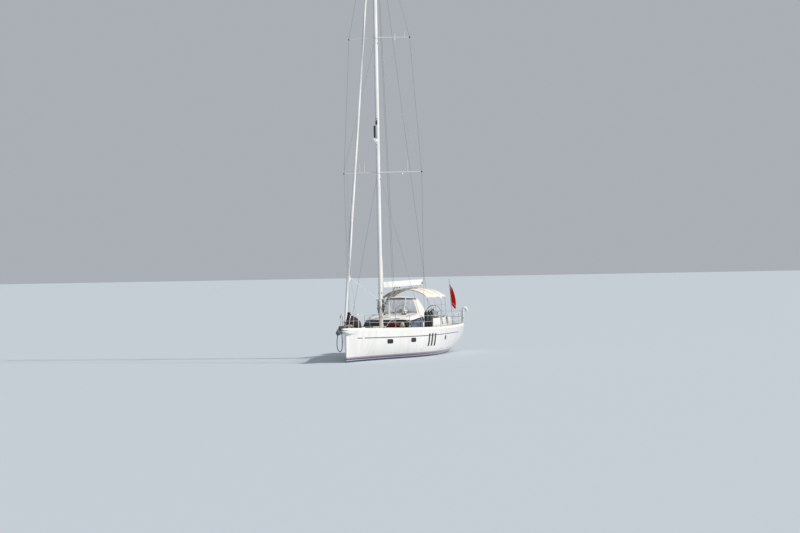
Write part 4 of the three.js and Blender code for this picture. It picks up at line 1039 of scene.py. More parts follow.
for side in (1, -1):
    for x in rails["posts"]:
        top = Vector((x, side * (halfAt(x) - rails["inset"] - 0.002), sheerAt(x) + 0.69))
        fittings.ball(top, 0.0165, (1, 1, 0.7), sides=12)
        fittings.turned(
            [(0.0, 0.0), (0.034, 0.0), (0.034, 0.012), (0.02, 0.03), (0.019, 0.075), (0.0, 0.075)],
            (x, top.y, sheerAt(x) + 0.062), sides=16
        )
fittings.done(slot="stainless")
print("guardrails done")


# furled headsail
genoa = {
    "foot": (8.33, 0.0, 1.6), "head": (2.17, 0.0, 24.09),
    # distance up the stay and radius of the roll there
    "roll": (
        (0.5, 0.028), (0.6, 0.045), (0.8, 0.064), (1.4, 0.074), (2.8, 0.08), (5.0, 0.076),
        (7.0, 0.072), (11.0, 0.066), (15.0, 0.058), (18.5, 0.05), (20.8, 0.041), (21.9, 0.033),
        (22.03, 0.022),
    ),
    "clew": 2.8, "lean": 0.55, "stripShare": 0.18,
}
stayFoot, stayHead = Vector(genoa["foot"]), Vector(genoa["head"])
stayAim = (stayHead - stayFoot).normalized()
stayAcross = stayAim.cross(Vector((0, 1, 0))).normalized()


def rollRadius(h):
    rows = genoa["roll"]
    for (h0, r0), (h1, r1) in zip(rows, rows[1:]):
        if h <= h1:
            k = max(0.0, (h - h0) / (h1 - h0))
            return r0 + (r1 - r0) * (3 * k * k - 2 * k ** 3)
    return rows[-1][1]


def makeGenoa():
    # a sail wound on its stay: an open spiral of cloth whose outer lap shows as a long slanting edge
    up, around = 150, 40
    roll = Piece("genoaRoll", "sailcloth", "sunStrip")
    low, high = genoa["roll"][0][0], genoa["roll"][-1][0]
    rings = []
    for i in range(up + 1):
        h = low + (high - low) * i / up
        size = rollRadius(h)
        lap = h * genoa["lean"]
        ring = []
        for k in range(around):
            share = k / around
            angle = math.tau * share + lap
            step = 0.012 * (1 - share)  # the last lap stands proud of the one beneath
            crease = 0.006 * noise.noise(Vector((math.cos(angle) * 2.2, math.sin(angle) * 2.2, h * 0.9)))
            crease += 0.004 * math.sin(angle * 3 + h * 2.4) * min(1.0, size / 0.08)
            out = size - 0.006 + (step if size > 0.04 else 0.0) + crease
            spot = stayFoot + stayAim * h
            ring.append(
                spot + stayAcross * (math.cos(angle) * out) + Vector((0, 1, 0)) * (math.sin(angle) * out)
            )
        rings.append(ring)
    faces = roll.loft(rings)
    # the strip sewn along the leech shows as a dark band winding up the roll
    for face in faces:
        c = face.calc_center_median() - stayFoot
        h = c.dot(stayAim)
        off = c - stayAim * h
        angle = math.atan2(off.y, off.dot(stayAcross)) - h * genoa["lean"]
        if (angle % math.tau) / math.tau < genoa["stripShare"]:
            face.material_index = 1
    roll.done(slot="sailcloth", replaces=["genoa"], crease=60)


makeGenoa()
clewAt = stayFoot + stayAim * genoa["clew"] + Vector((-0.16, 0.02, 0))
clew = Piece("genoaClew", "sailcloth", "steel")
tip = clewAt + Vector((-0.16, 0.06, -0.02))
sheetRows = []
for i in range(9):
    k = i / 8
    base = stayFoot + stayAim * (genoa["clew"] - 0.42 + 0.84 * k) + Vector((-0.066, 0.0, 0))
    width = 1 - abs(2 * k - 1)
    sheetRows.append([
        base.lerp(tip, j / 5 * width) + Vector((0, 0.012 * math.sin(j * 1.4 + i), 0)) for j in range(6)
    ])
grid = [[clew.bm.verts.new(p) for p in row] for row in sheetRows]
for a, b in zip(grid, grid[1:]):
    for j in range(5):
        clew.bm.faces.new((a[j], a[j + 1], b[j + 1], b[j]))
clew.weld(0.001)
clew.outward()
genoaClew = clew.done(slot="sailcloth", thickness=0.003, crease=60)
print("headsail done")


# ropes: one open curve each
def rope(name, path, thick, finish):
    path = [Vector(p) for p in path]
    line = wires(name, [path], thick / 2, finish)


def rounded(points, steps=8):
    # a smooth line through a few points
    points = [Vector(p) for p in points]
    ends = [points[0] * 2 - points[1], *points, points[-1] * 2 - points[-2]]
    line = []
    for i in range(1, len(ends) - 2):
        a, b, c, d = ends[i - 1:i + 3]
        for k in range(steps):
            t = k / steps
            line.append(0.5 * (
                2 * b + (c - a) * t + (2 * a - 5 * b + 4 * c - d) * t * t + (3 * b - a - 3 * c + d) * t ** 3
            ))
    return line + [points[-1]]


# ensign
ensign = {
    "head": 3.84, "foot": 2.62, "fly": 0.36, "aim": (-0.55, 0.84, 0.0), "droop": 0.34, "canton": (0.5, 0.22),
    "staffFoot": (-7.77, 1.33, 1.4), "staffTop": (-7.99, 1.08, 4.02),
}
flagFoot, flagTop = Vector(ensign["staffFoot"]), Vector(ensign["staffTop"])


def staffAt(z):
    return flagFoot.lerp(flagTop, (z - flagFoot.z) / (flagTop.z - flagFoot.z))


def makeEnsign():
    cloth = Piece("ensignCloth", "flag", "flagPale")
    aim = Vector(ensign["aim"]).normalized()
    over = Vector((-aim.y, aim.x, 0))
    tall = ensign["head"] - ensign["foot"]
    made = bmesh.ops.create_grid(cloth.bm, x_segments=60, y_segments=40, size=1.0)["verts"]
    for face in cloth.bm.faces:
        c = face.calc_center_median()
        if (c.x + 1) / 2 < ensign["canton"][0] and (1 - c.y) / 2 < ensign["canton"][1]:
            face.material_index = 1
    for v in made:
        out, down = (v.co.x + 1) / 2, (1 - v.co.y) / 2
        fall = out ** 0.8
        fold = (0.03 + 0.085 * fall) * math.sin(out * 22.0 + down * 1.4 + 0.5) * min(1.0, out * 5)
        reach = ensign["fly"] * out * (0.35 + 0.65 * math.sin(math.pi * (0.05 + 0.84 * down)))
        z = ensign["head"] - tall * down * (1 - 0.06 * fall) - ensign["droop"] * fall
        place = staffAt(ensign["head"] - tall * down)
        at = place + aim * (0.02 + reach - 0.1 * out * math.sin(math.pi * down)) + over * fold
        v.co = Vector((at.x, at.y, z + 0.02 * math.sin(out * 22.0 + 2)))
    cloth.outward()
    return cloth.done(slot="red_flag", replaces=["ensign"], thickness=0.0012, crease=80)


ensignCloth = makeEnsign()
ties = Piece("ensignToggles", "ropeWhite", "steel")
for z in (3.83, 2.64):
    at = staffAt(z)
    ties.turned(
        [(0.017, -0.014), (0.023, -0.009), (0.023, 0.009), (0.017, 0.014), (0.017, -0.014)], at,
        flagTop - flagFoot, 14
    )
ties.index = 1
ties.turned(
    [(0.0, 0.0), (0.024, 0.004), (0.028, 0.016), (0.024, 0.03), (0.0, 0.036)], flagTop, flagTop - flagFoot,
    16
)
ties.turned(
    [(0.0, 0.0), (0.034, 0.0), (0.034, 0.02), (0.022, 0.05), (0.02, 0.14), (0.0, 0.14)], staffAt(1.6),
    flagTop - flagFoot, 16
)
ties.done(slot="stainless")
print("ensign done")


# bags on deck
bags = {
    "blue": {
        # x, half breadth, height and y of the middle, which passes inside the shrouds
        "rows": (
            (2.4, 0.03, 0.02, 1.78), (2.28, 0.09, 0.11, 1.79), (2.05, 0.14, 0.21, 1.81),
            (1.75, 0.165, 0.31, 1.825), (1.4, 0.155, 0.4, 1.825), (1.1, 0.125, 0.47, 1.81),
            (0.85, 0.112, 0.51, 1.79), (0.55, 0.112, 0.5, 1.785), (0.36, 0.1, 0.44, 1.785),
            (0.29, 0.05, 0.16, 1.785),
        ),
        "deck": 1.56, "lashed": (1.75, 1.1, 0.55),
    },
    "brown": {
        # z, half length, half breadth and y of the middle
        "rows": (
            (1.66, 0.3, 0.37, -0.05), (1.72, 0.345, 0.42, -0.05), (1.9, 0.36, 0.44, -0.07),
            (2.06, 0.335, 0.42, -0.1), (2.2, 0.28, 0.34, -0.13), (2.31, 0.19, 0.22, -0.19),
            (2.4, 0.1, 0.11, -0.25), (2.46, 0.06, 0.07, -0.27), (2.52, 0.085, 0.1, -0.28),
            (2.56, 0.03, 0.04, -0.28),
        ),
        "x": 6.7,
    },
}


def makeBlueBag():
    bag = Piece("blueBagCover", "blueCanvas")
    rings = []
    for x, half, tall, middle in bags["blue"]["rows"]:
        ring = []
        for turn in circle(28):
            y, z = math.cos(turn), math.sin(turn)
            level = tall * (z if z > 0 else z * 0.12)  # it lies flat on the deck
            at = Vector((x, middle + half * y, bags["blue"]["deck"] + level))
            dent = noise.noise(Vector((at.x * 2.4, y * 1.3, z * 1.3))) * 0.045 * min(1.0, tall / 0.3)
            at.z += dent * (z >= 0) * (0.4 + z)
            at.y += noise.noise(Vector((at.x * 3.1, y * 2.0, 7.0 + z * 2.0))) * 0.02
            ring.append(at)
        rings.append(ring)
    bag.loft(rings)
    bag.done(slot="blue_canvas", replaces=["blue_bag"], subdivide=2, crease=180)


def makeBrownBag():
    bag = Piece("brownBagCover", "brownCanvas")
    rings = []
    for z, long, wide, y in bags["brown"]["rows"]:
        ring = []
        for turn in circle(32):
            pleat = 1 + 0.06 * math.sin(turn * 7 + z * 3.0) * min(1.0, max(0.0, (z - 1.85) * 2.2))
            dent = 1 + 0.1 * noise.noise(Vector((math.cos(turn) * 1.6, math.sin(turn) * 1.6, z * 2.6)))
            ring.append(Vector((
                bags["brown"]["x"] + long * math.cos(turn) * pleat * dent,
                y + wide * math.sin(turn) * pleat * dent, z,
            )))
        rings.append(ring)
    bag.loft(rings)
    bag.done(slot="brown_canvas", replaces=["sail_bag"], subdivide=2, crease=180)


makeBlueBag()
makeBrownBag()
lashings = []
for x, half, tall, middle in bags["blue"]["rows"]:
    if x in bags["blue"]["lashed"]:
        lashings.append([
            Vector((
                x, middle + (half + 0.016) * math.cos(a),
                bags["blue"]["deck"] + (tall + 0.022) * math.sin(a)
            ))
            for a in arch(24)
        ])
lashings.append([
    Vector((
        bags["brown"]["x"] + 0.068 * math.cos(a), -0.27 + 0.078 * math.sin(a), 2.46
    )) for a in [math.tau * k / 24 for k in range(25)]
])
wires("bagStraps", lashings, 0.009, "black")
print("bags done")


# fenders
fenders = {
    "fender_1": (0.67, 2.14), "fender_2": (0.24, 2.17), "fender_3": (-0.22, 2.19),
    "low": 1.5, "long": 0.97,
    # radius and height, from the foot to the eye
    "profile": (
        (0.0, 0.0), (0.022, 0.002), (0.026, 0.03), (0.055, 0.055), (0.082, 0.085), (0.094, 0.13),
        (0.096, 0.22), (0.096, 0.74), (0.093, 0.8), (0.078, 0.855), (0.05, 0.885), (0.028, 0.905),
        (0.024, 0.955), (0.018, 0.968), (0.0, 0.97),
    ),
}
for name in ("fender_1", "fender_2", "fender_3"):
    x, y = fenders[name]
    body = Piece(f"{name}Cover", "rubber", "stripePale")
    made = body.turned(fenders["profile"], (x, y, fenders["low"]), sides=36)
    for v in made:
        # the knitted cover wrinkles a little towards its drawn ends
        share = (v.co.z - fenders["low"]) / fenders["long"]
        pull = max(0.0, abs(share - 0.47) - 0.32) * 0.09
        angle = math.atan2(v.co.y - y, v.co.x - x)
        grow = 1 + pull * math.sin(angle * 9) * 1.2
        v.co.x, v.co.y = x + (v.co.x - x) * grow, y + (v.co.y - y) * grow
    body.done(slot="black_rubber", replaces=[name], subdivide=1, crease=180)
for name in ("fender_1", "fender_2", "fender_3"):
    x, y = fenders[name]
    eye = Vector((x, y, fenders["low"] + 0.955))
    rail = Vector((x, halfAt(x) - 0.038, sheerAt(x) + 0.672))
    turns = [eye, eye + Vector((0.0, 0.01, 0.06)), rail.lerp(eye, 0.5) + Vector((0.02, 0.005, 0.035))]
    for k in range(30):
        a = math.tau * k / 12
        turns.append(rail + Vector((0.012 * k / 12 - 0.01, 0.017 * math.cos(a), 0.017 * math.sin(a))))
    tail = [
        turns[-1] + Vector((0.03, 0.01, -0.06)), turns[-1] + Vector((0.035, 0.012, -0.2)),
        turns[-1] + Vector((0.03, 0.01, -0.36))
    ]
    rope(f"{name}Lanyard", rounded(turns + tail, 4), 0.01, "ropeWhite")
print("fenders done")


# rescue gear: horseshoe in a padded cover, with a pole buoy beside it
rescue = {
    "bends": (
        (0.01, -0.12), (-0.014, -0.02), (0.01, 0.055), (0.085, 0.09), (0.16, 0.055), (0.184, -0.02),
        (0.16, -0.12)
    ),
    "at": (-7.6, 1.985, 2.33), "thick": 0.076, "pole": (-7.79, 1.925, 1.642),
    # radius and height of the pole buoy's float
    "buoy": (
        (0.0, 0.0), (0.048, 0.0), (0.058, 0.03), (0.06, 0.3), (0.055, 0.305), (0.055, 0.325),
        (0.06, 0.33), (0.06, 0.7), (0.052, 0.765), (0.034, 0.8), (0.02, 0.82), (0.0, 0.82),
    ),
}


def makeHorseshoe():
    cover = Piece("horseshoeCover", "plastic")
    base = Vector(rescue["at"])
    path = rounded([base + Vector((-a * 0.34, a * 0.94, b)) for a, b in rescue["bends"]], 6)
    count = len(path) - 1
    rings = []
    for i, p in enumerate(path):
        aim = (path[min(i + 1, count)] - path[max(i - 1, 0)]).normalized()
        side = Vector((0.94, 0.34, 0)).normalized()
        up = aim.cross(side).normalized()
        share = i / count
        end = min(1.0, 7.0 * min(share, 1 - share) + 0.25) ** 0.5
        ribs = 1 - 0.07 * (abs(math.sin(share * math.pi * 5)) < 0.16)
        wide, deep = rescue["thick"] * end * ribs, rescue["thick"] * 0.86 * end * ribs
        rings.append([p + up * (wide * math.cos(a)) + side * (deep * math.sin(a)) for a in circle(20)])
    cover.loft(rings)
    return cover.done(slot="white_plastic", replaces=["rescue_gear"], subdivide=1, crease=180)


horseshoe = makeHorseshoe()
x, y, z = rescue["pole"]
buoy = Piece("poleBuoy", "plastic", "black", "flag")
buoy.turned(rescue["buoy"], (x, y, z), sides=28)
buoy.index = 1
for height in (0.2, 0.6):
    buoy.turned(
        [(0.0595, -0.018), (0.064, -0.014), (0.064, 0.014), (0.0595, 0.018), (0.0595, -0.018)],
        (x, y, z + height), sides=28
    )
    buoy.block((x - 0.075, y - 0.018, z + height - 0.018), (x - 0.05, y + 0.018, z + height + 0.018), 0.004)
buoy.done(slot="white_plastic", bevel=0.001)
print("rescue gear done")


# mast, its mouth and what hangs on it
mast = {
    "x": 1.87, "long": 0.15, "wide": 0.095, "foot": 1.63,
    "bands": (1.86, 5.9, 11.2, 16.8, 20.5), "bandTall": 0.035, "slotFrom": 4.25, "slotTo": 23.9,
    # turn round the mast and height
    "exits": ((62, 2.75), (-62, 2.75), (118, 2.55), (-118, 2.55)), "exitRises": (0.0, 0.35, 0.7),
    "winches": ((75, 2.62), (-75, 2.62), (75, 3.08), (-75, 3.08)),
    "cleats": ((95, 2.28), (-95, 2.28), (60, 2.16), (-60, 2.16)),
    # height and half length of the tangs
    "tangs": ((9.9, 0.11), (17.1, 0.09), (23.85, 0.07), (9.55, 0.05), (16.8, 0.05)),
}


def onMast(turn, z, proud=0.0):
    # a point on the mast's oval wall; turn 0 faces forward, a quarter turn faces port
    a = math.radians(turn)
    return Vector((
        mast["x"] + (mast["long"] + proud) * math.cos(a), (mast["wide"] + proud) * math.sin(a), z
    ))


trim = Piece("mastTrim", "spar", "black", "steel", "plastic")
collar = [(0.0, 0.0), (1.35, 0.0), (1.35, 0.02), (1.12, 0.05), (1.08, 0.16), (1.0, 0.17), (0.0, 0.17)]
for v in trim.turned(collar, (0, 0, 0), sides=40):
    v.co = Vector((mast["x"] + v.co.x * mast["long"], v.co.y * mast["wide"], mast["foot"] + v.co.z))
for z in mast["bands"]:
    trim.loft([[onMast(9 * k, z + h, 0.004) for k in range(40)] for h in (0.0, mast["bandTall"])])
# luff slot down the after face, from the head to the boom
trim.index = 1
back = mast["x"] - mast["long"]
trim.block((back - 0.004, -0.011, mast["slotFrom"]), (back + 0.01, 0.011, mast["slotTo"]))
for turn, z in mast["exits"]:
    for rise in mast["exitRises"]:
        trim.block(
            onMast(turn, z + rise, 0.0) - Vector((0.02, 0.012, 0.05)),
            onMast(turn, z + rise, 0.006) + Vector((0.02, 0.012, 0.05)), 0.004
        )
# winches and cleats on both sides of the foot
trim.index = 2
for turn, z in mast["winches"]:
    aim = Vector((0, 1 if turn > 0 else -1, 0))
    at = onMast(turn, z, -0.01)
    trim.turned(
        [
            (0.0, 0.0), (0.06, 0.0), (0.062, 0.02), (0.05, 0.03), (0.042, 0.06), (0.046, 0.1),
            (0.056, 0.115), (0.056, 0.13), (0.03, 0.14), (0.0, 0.14)
        ],
        at, aim, 24,
    )
for turn, z in mast["cleats"]:
    at = onMast(turn, z, 0.03)
    trim.bar(at - lift(0.085), at + lift(0.085), 0.009, sides=10)
    for end in (-0.028, 0.028):
        trim.bar(onMast(turn, z + end, -0.006), at + lift(end), 0.008, sides=8)
# tangs where the shrouds and spreaders meet the mast
for z, reach in mast["tangs"]:
    for side in (1, -1):
        trim.block(
            (mast["x"] - 0.055, side * (mast["wide"] + 0.004) - 0.006, z - reach),
            (mast["x"] + 0.035, side * (mast["wide"] + 0.004) + 0.006, z + reach), 0.003
        )
# working lights: steaming light with its deck flood
trim.index = 1
trim.block((2.015, -0.045, 12.62), (2.1, 0.045, 12.76), 0.012)
trim.bar((2.055, 0, 12.44), (2.075, 0, 12.6), 0.045, 0.055, 20)
trim.bar((2.42, 0, 11.74), (2.42, 0, 12.36), 0.052, 0.052, 20)
trim.bar((2.05, 0, 11.7), (2.42, 0, 11.78), 0.014, sides=8)
trim.index = 3
trim.ball((2.1, 0, 12.69), 0.036, sides=16)
trim.bar((2.061, 0, 12.43), (2.061, 0, 12.445), 0.038, sides=20)
trim.done(slot="spar", crease=35)
print("mast fittings done")


# furled mainsail: only its clew shows at the slot
mainsail = {"low": 3.98, "high": 6.55}


def makeClew():
    cloth = Piece("mainsailClew", "sailcloth")
    for v in bmesh.ops.create_grid(cloth.bm, x_segments=10, y_segments=30, size=1.0)["verts"]:
        out, up = (v.co.x + 1) / 2, (v.co.y + 1) / 2
        z = mainsail["low"] + (mainsail["high"] - mainsail["low"]) * up
        reach = 0.02 + 0.31 * math.sin(math.pi * up ** 0.45)
        crinkle = noise.noise(Vector((out * 3, 0, z * 2)))
        swell = 0.02 * math.sin(out * math.pi) * math.sin(up * 9.0) + 0.012 * crinkle
        v.co = Vector((
            mast["x"] - mast["long"] + 0.02 - reach * out, 0.004 + swell * min(1.0, reach * 8),
            z - 0.1 * out * (1 - up)
        ))
    cloth.outward()
    return cloth.done(slot="sailcloth", thickness=0.004, crease=80)


mainClew = makeClew()

# spreaders: tips, lamps and short aerials
spreaders = {
    # height, half span and sweep aft
    "pairs": ((9.9, 2.18, 0.79), (17.1, 1.7, 0.61)),
    # place, height and length
    "aerials": (
        ((1.33, 1.48), 9.93, 0.62), ((1.33, -0.95), 9.93, 0.62), ((1.2, -1.25), 9.93, 0.5),
        ((1.3, 1.42), 17.13, 0.32), ((1.5, 0.95), 17.13, 0.18),
    ),
}
tips = Piece("spreaderFittings", "rubber", "plastic", "spar")
for z, half, sweep in spreaders["pairs"]:
    for side in (1, -1):
        at = Vector((mast["x"] - sweep, side * half, z))
        tips.index = 0
        tips.ball(at, 0.055, (1.0, 0.7, 0.8), sides=14)
        tips.index = 1
        near = Vector((mast["x"] - sweep * 0.55, side * half * 0.55, z - 0.05))
        tips.bar(near, near - lift(0.055), 0.035, 0.055, 18)
for (x, y), z, tall in spreaders["aerials"]:
    tips.index = 1
    tips.bar((x, y, z - 0.02), (x, y, z + 0.08), 0.018, 0.012, 12)
    tips.bar((x, y, z + 0.08), (x, y, z + tall), 0.011, 0.009, 8)
tips.done(slot="spar")

# masthead: wind vane, aerial and lantern
head = Piece("mastheadFittings", "black", "plastic", "steel", "redLens")
head.bar((1.95, 0.03, 24.15), (1.95, 0.03, 24.56), 0.007, sides=8)
head.bar((1.95, 0.03, 24.42), (2.2, 0.03, 24.44), 0.005, sides=8)
head.block((1.78, 0.027, 24.37), (1.9, 0.033, 24.5), 0.0)
head.index = 1
head.bar((1.8, -0.05, 24.15), (1.8, -0.05, 24.26), 0.036, 0.034, 20)
head.index = 2
head.block((1.72, -0.07, 24.14), (2.06, 0.07, 24.155), 0.003)
for y in (-0.06, 0.06):
    head.turned(
        [(0.0, -0.008), (0.038, -0.008), (0.03, 0.0), (0.038, 0.008), (0.0, 0.008)], (2.06, y, 24.09),
        (0, 1, 0), 20
    )
head.done(slot="spar")

# rigging screws at the shroud feet, stay foot and backstay foot
screwSpots = []
for side in (1, -1):
    for (x, y), (tx, ty, tz) in (((0.88, 2.11), (1.08, 2.18, 9.9)), ((0.91, 2.08), (1.87, 0.1, 9.6))):
        foot = Vector((x, side * y, 1.6))
        screwSpots.append((foot, (Vector((tx, side * ty, tz)) - foot).normalized()))
screwSpots.append((
    Vector((-7.84, 0, 1.56)), (Vector((1.72, 0, 24.0)) - Vector((-7.84, 0, 1.56))).normalized()
))
turnbuckles = Piece("riggingScrews", "steel")
for foot, aim in screwSpots:
    turnbuckles.bar(foot + aim * 0.06, foot + aim * 0.17, 0.009, sides=10)
    turnbuckles.turned(
        [(0.0, 0.0), (0.015, 0.0), (0.019, 0.02), (0.019, 0.2), (0.015, 0.22), (0.0, 0.22)],
        foot + aim * 0.16, aim, 16
    )
    turnbuckles.turned(
        [(0.0, 0.0), (0.012, 0.0), (0.013, 0.1), (0.008, 0.12), (0.0, 0.12)], foot + aim * 0.4, aim, 14
    )
    turnbuckles.bar(
        foot + aim * 0.07 - Vector((0.0, 0.028, 0.0)), foot + aim * 0.07 + Vector((0.0, 0.028, 0.0)), 0.011,
        sides=10
    )
turnbuckles.done(slot="stainless")
print("rigging fittings done")


# boom fittings, all riding with the boom
boomRest = {"heel": 1.625, "swing": math.radians(3.5)}
boomAim = Vector((-math.cos(boomRest["swing"]), math.sin(boomRest["swing"]), 0))
boomSide = Vector((boomAim.y, -boomAim.x, 0))


def onBoom(along, across, z):
    return Vector((boomRest["heel"], 0, 0)) + boomAim * along + boomSide * across + lift(z)


def boomBlock(piece, along, across, z, size, bevel=0.004):
    made = piece.block([-s / 2 for s in size], [s / 2 for s in size], bevel)
    turn = math.atan2(boomAim.y, boomAim.x)
    for v in made:
        v.co = Matrix.Rotation(turn, 4, "Z") @ v.co + onBoom(along, across, z)


gear = Piece("boomFittings", "black", "steel", "spar")
gear.index = 2
boomBlock(gear, 6.3, 0, 3.875, (0.05, 0.172, 0.316), 0.012)
boomBlock(gear, 0.06, 0, 3.88, (0.06, 0.168, 0.328), 0.012)
gear.index = 0
boomBlock(gear, 3.15, 0, 4.032, (5.9, 0.018, 0.012), 0.002)
for along in (2.35, 2.75, 4.45):
    boomBlock(gear, along, 0, 3.712, (0.11, 0.05, 0.03))
boomBlock(gear, 5.35, 0, 4.05, (0.2, 0.06, 0.05), 0.01)
boomBlock(gear, 6.2, 0.092, 3.9, (0.16, 0.012, 0.09), 0.004)
gear.index = 1
for along in (2.35, 2.75):
    gear.turned(sheave(0.034, 0.022), onBoom(along, 0, 3.665), boomSide, 20)
    for across in (-0.02, 0.02):
        gear.bar(onBoom(along, across, 3.665), onBoom(along, across, 3.715), 0.005, sides=8)
for along in (0.9, 1.9, 3.9, 5.2, 5.9):
    for across in (0.086, -0.086):
        gear.bar(onBoom(along, across, 3.75), onBoom(along, across, 3.84), 0.006, sides=8)
gear.done(body="boom", slot="spar")


def boomLine(name, path, thick, finish):
    # a rope tube along the path, left on no body with its placing baked into the mesh
    line = Piece(name, finish)
    line.tube(path, thick / 2)
    line = line.done(body=None, slot="canvas")
    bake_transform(line)


# outhaul from the clew along the top of the boom
outhaul = [
    Vector((1.4, 0.003, 4.06)),
    *[onBoom(0.35 + 0.5 * i, 0, 4.045 + 0.012 * math.sin(i * 1.1)) for i in range(11)]
]
boomLine("outhaul", outhaul, 0.012, "ropeBlue")

# mainsheet: from the coachroof up to the boom and back
sheetBase = [Vector((-0.62, y, 2.245)) for y in (-0.1, 0.12)]
blocks = Piece("mainsheetBlocks", "steel", "black")
for at in sheetBase:
    blocks.turned(sheave(0.036, 0.024), at + lift(0.055), (0, 1, 0), 20)
    blocks.bar(at - lift(0.03), at + lift(0.05), 0.008, sides=10)
blocks.index = 1
blocks.block((-0.72, -0.42, 2.222), (-0.52, 0.42, 2.246), 0.006)
blocks.done(slot="stainless")
sheetPath = [
    sheetBase[0] + lift(0.07), onBoom(2.36, -0.012, 3.67), onBoom(2.4, 0.0, 3.655),
    sheetBase[1] + Vector((-0.02, 0, 0.09)),
]
falls = []
for a, b in zip(sheetPath, sheetPath[1:]):
    falls += sag(a, b, 0.0, max(2, int((b - a).length / 0.12)))[:-1]
boomLine("mainsheet", falls + [sheetPath[-1]], 0.012, "ropeRed")
print("boom done")


# halyards: down the mast from the head, and a coil hung on each cleat
halyards = {
    "halyardPort": ((1.76, 0.07, 23.7), (0.96, 0.52, 2.16)),
    "halyardStarboard": ((1.76, 0.03, 23.6), (0.98, 0.44, 2.165)),
    "spinnakerHalyard": ((2.03, -0.05, 23.9), (2.045, -0.07, 1.9)),
    "flagHalyard": ((1.17, -1.95, 9.86), (0.91, -2.08, 2.2)),
}
for name, (high, low) in halyards.items():
    slack = 0.1 if name.startswith("halyard") else 0.0
    high, low = Vector(high), Vector(low)
    line = [
        high.lerp(low, i / 60) + Vector((-0.3, 0.12, 0)) * slack * 4 * (i / 60) * (1 - i / 60)
        for i in range(61)
    ]
    rope(
        name, line[::-1], 0.009 if name != "flagHalyard" else 0.005, "ropeDark",
    )


def coil(name, top, long, wide, aim, finish, turns=5, thick=0.011, lean=0.0):
    # a hank of rope: long loops hung from one point, wound round once near the top
    top, aim = Vector(top), Vector(aim).normalized()
    out = aim.cross(lift(1)).normalized()
    path = []
    for k in range(turns * 24 + 1):
        a = math.tau * k / 24
        share = k / (turns * 24)
        grow = 1 + 0.1 * math.sin(k * 0.9)
        drop = long / 2 * (1 - math.cos(a)) * (0.92 + 0.08 * grow)
        path.append(
            top + aim * (wide * math.sin(a) * grow) - lift(drop)
            + out * (thick * 1.15 * (share * turns - turns / 2) + lean * drop) + aim * 0.004 * share
        )
    end = path[-1]
    path += [end + aim * (wide * 0.8) - lift(long * 0.2), end - lift(long * 0.55) + aim * wide * 1.1]
    rope(name, path, thick, finish)


coil("mastCoilPort", (1.86, 0.135, 3.02), 0.62, 0.1, (1, 0, 0), "ropeDark")
coil("mastCoilStarboard", (1.9, -0.135, 3.02), 0.62, 0.1, (1, 0, 0), "ropeBlue")
coil("mastCoilForward", (2.06, 0.01, 2.72), 0.58, 0.09, (0, 1, 0), "ropeDark", 4)
print("halyards done")


# foredeck: windlass gear, chain, lamps and the line looped at the roller
foredeck = {
    "chain": ((7.5, -0.11, 1.873), (7.64, -0.11, 1.846), (7.95, -0.11, 1.835), (8.18, -0.11, 1.838)),
    "linkLong": 0.036, "linkWide": 0.024, "linkThick": 0.0055,
}


def chainLinks(piece, path, long, wide, thick):
    # oval links, each turned a quarter from the last
    path = [Vector(p) for p in path]
    total = lengthOf(path)
    step, walked, spot, count = long * 0.72, 0.0, 0, 0
    while walked < total:
        left = walked
        for a, b in zip(path, path[1:]):
            if left <= (b - a).length:
                at, aim = a.lerp(b, left / (b - a).length), (b - a).normalized()
                break
            left -= (b - a).length
        side = aim.cross(lift(1)).normalized()
        over = aim.cross(side).normalized() if count % 2 else side
        ring = [at + aim * (math.cos(a) * long / 2) + over * (math.sin(a) * wide / 2) for a in circle(12)]
        rows = []
        for k, p in enumerate(ring):
            run = (ring[(k + 1) % 12] - ring[k - 1]).normalized()
            flat = over.cross(aim)
            inward = flat.cross(run)
            rows.append([p + (inward * math.cos(t) + flat * math.sin(t)) * thick for t in circle(6)])
        piece.loft(rows + [rows[0]], capped=False)
        walked, count = walked + step, count + 1


ground = Piece("groundTackle", "galvanised", "steel", "black")
chainLinks(ground, foredeck["chain"], foredeck["linkLong"], foredeck["linkWide"], foredeck["linkThick"])
ground.weld(0.00005)
ground.index = 1
for y in (-0.172, 0.132):
    ground.turned(
        [(0.058, -0.028), (0.078, -0.024), (0.062, 0.0), (0.078, 0.024), (0.058, 0.028), (0.058, -0.028)],
        (7.52, y, 1.86), (0, 1, 0), 32
    )
ground.turned(
    [(0.0, 0.0), (0.05, 0.0), (0.05, 0.012), (0.02, 0.02), (0.0, 0.02)], (7.52, 0.155, 1.86), (0, 1, 0), 24
)
ground.bar((7.46, 0.0, 1.93), (7.46, 0.0, 1.955), 0.02, sides=16)
for x, y in ((7.4, 0.2), (7.4, 0.27)):
    z = sheerAt(x) + 0.075
    ground.turned([(0.0, 0.0), (0.045, 0.0), (0.045, 0.01), (0.03, 0.02), (0.0, 0.02)], (x, y, z), sides=24)
ground.index = 2
for x, y in ((7.4, 0.2), (7.4, 0.27)):
    ground.turned(
        [(0.0, 0.0), (0.028, 0.0), (0.026, 0.012), (0.0, 0.014)], (x, y, sheerAt(x) + 0.094), sides=20
    )
ground.done(slot="stainless")

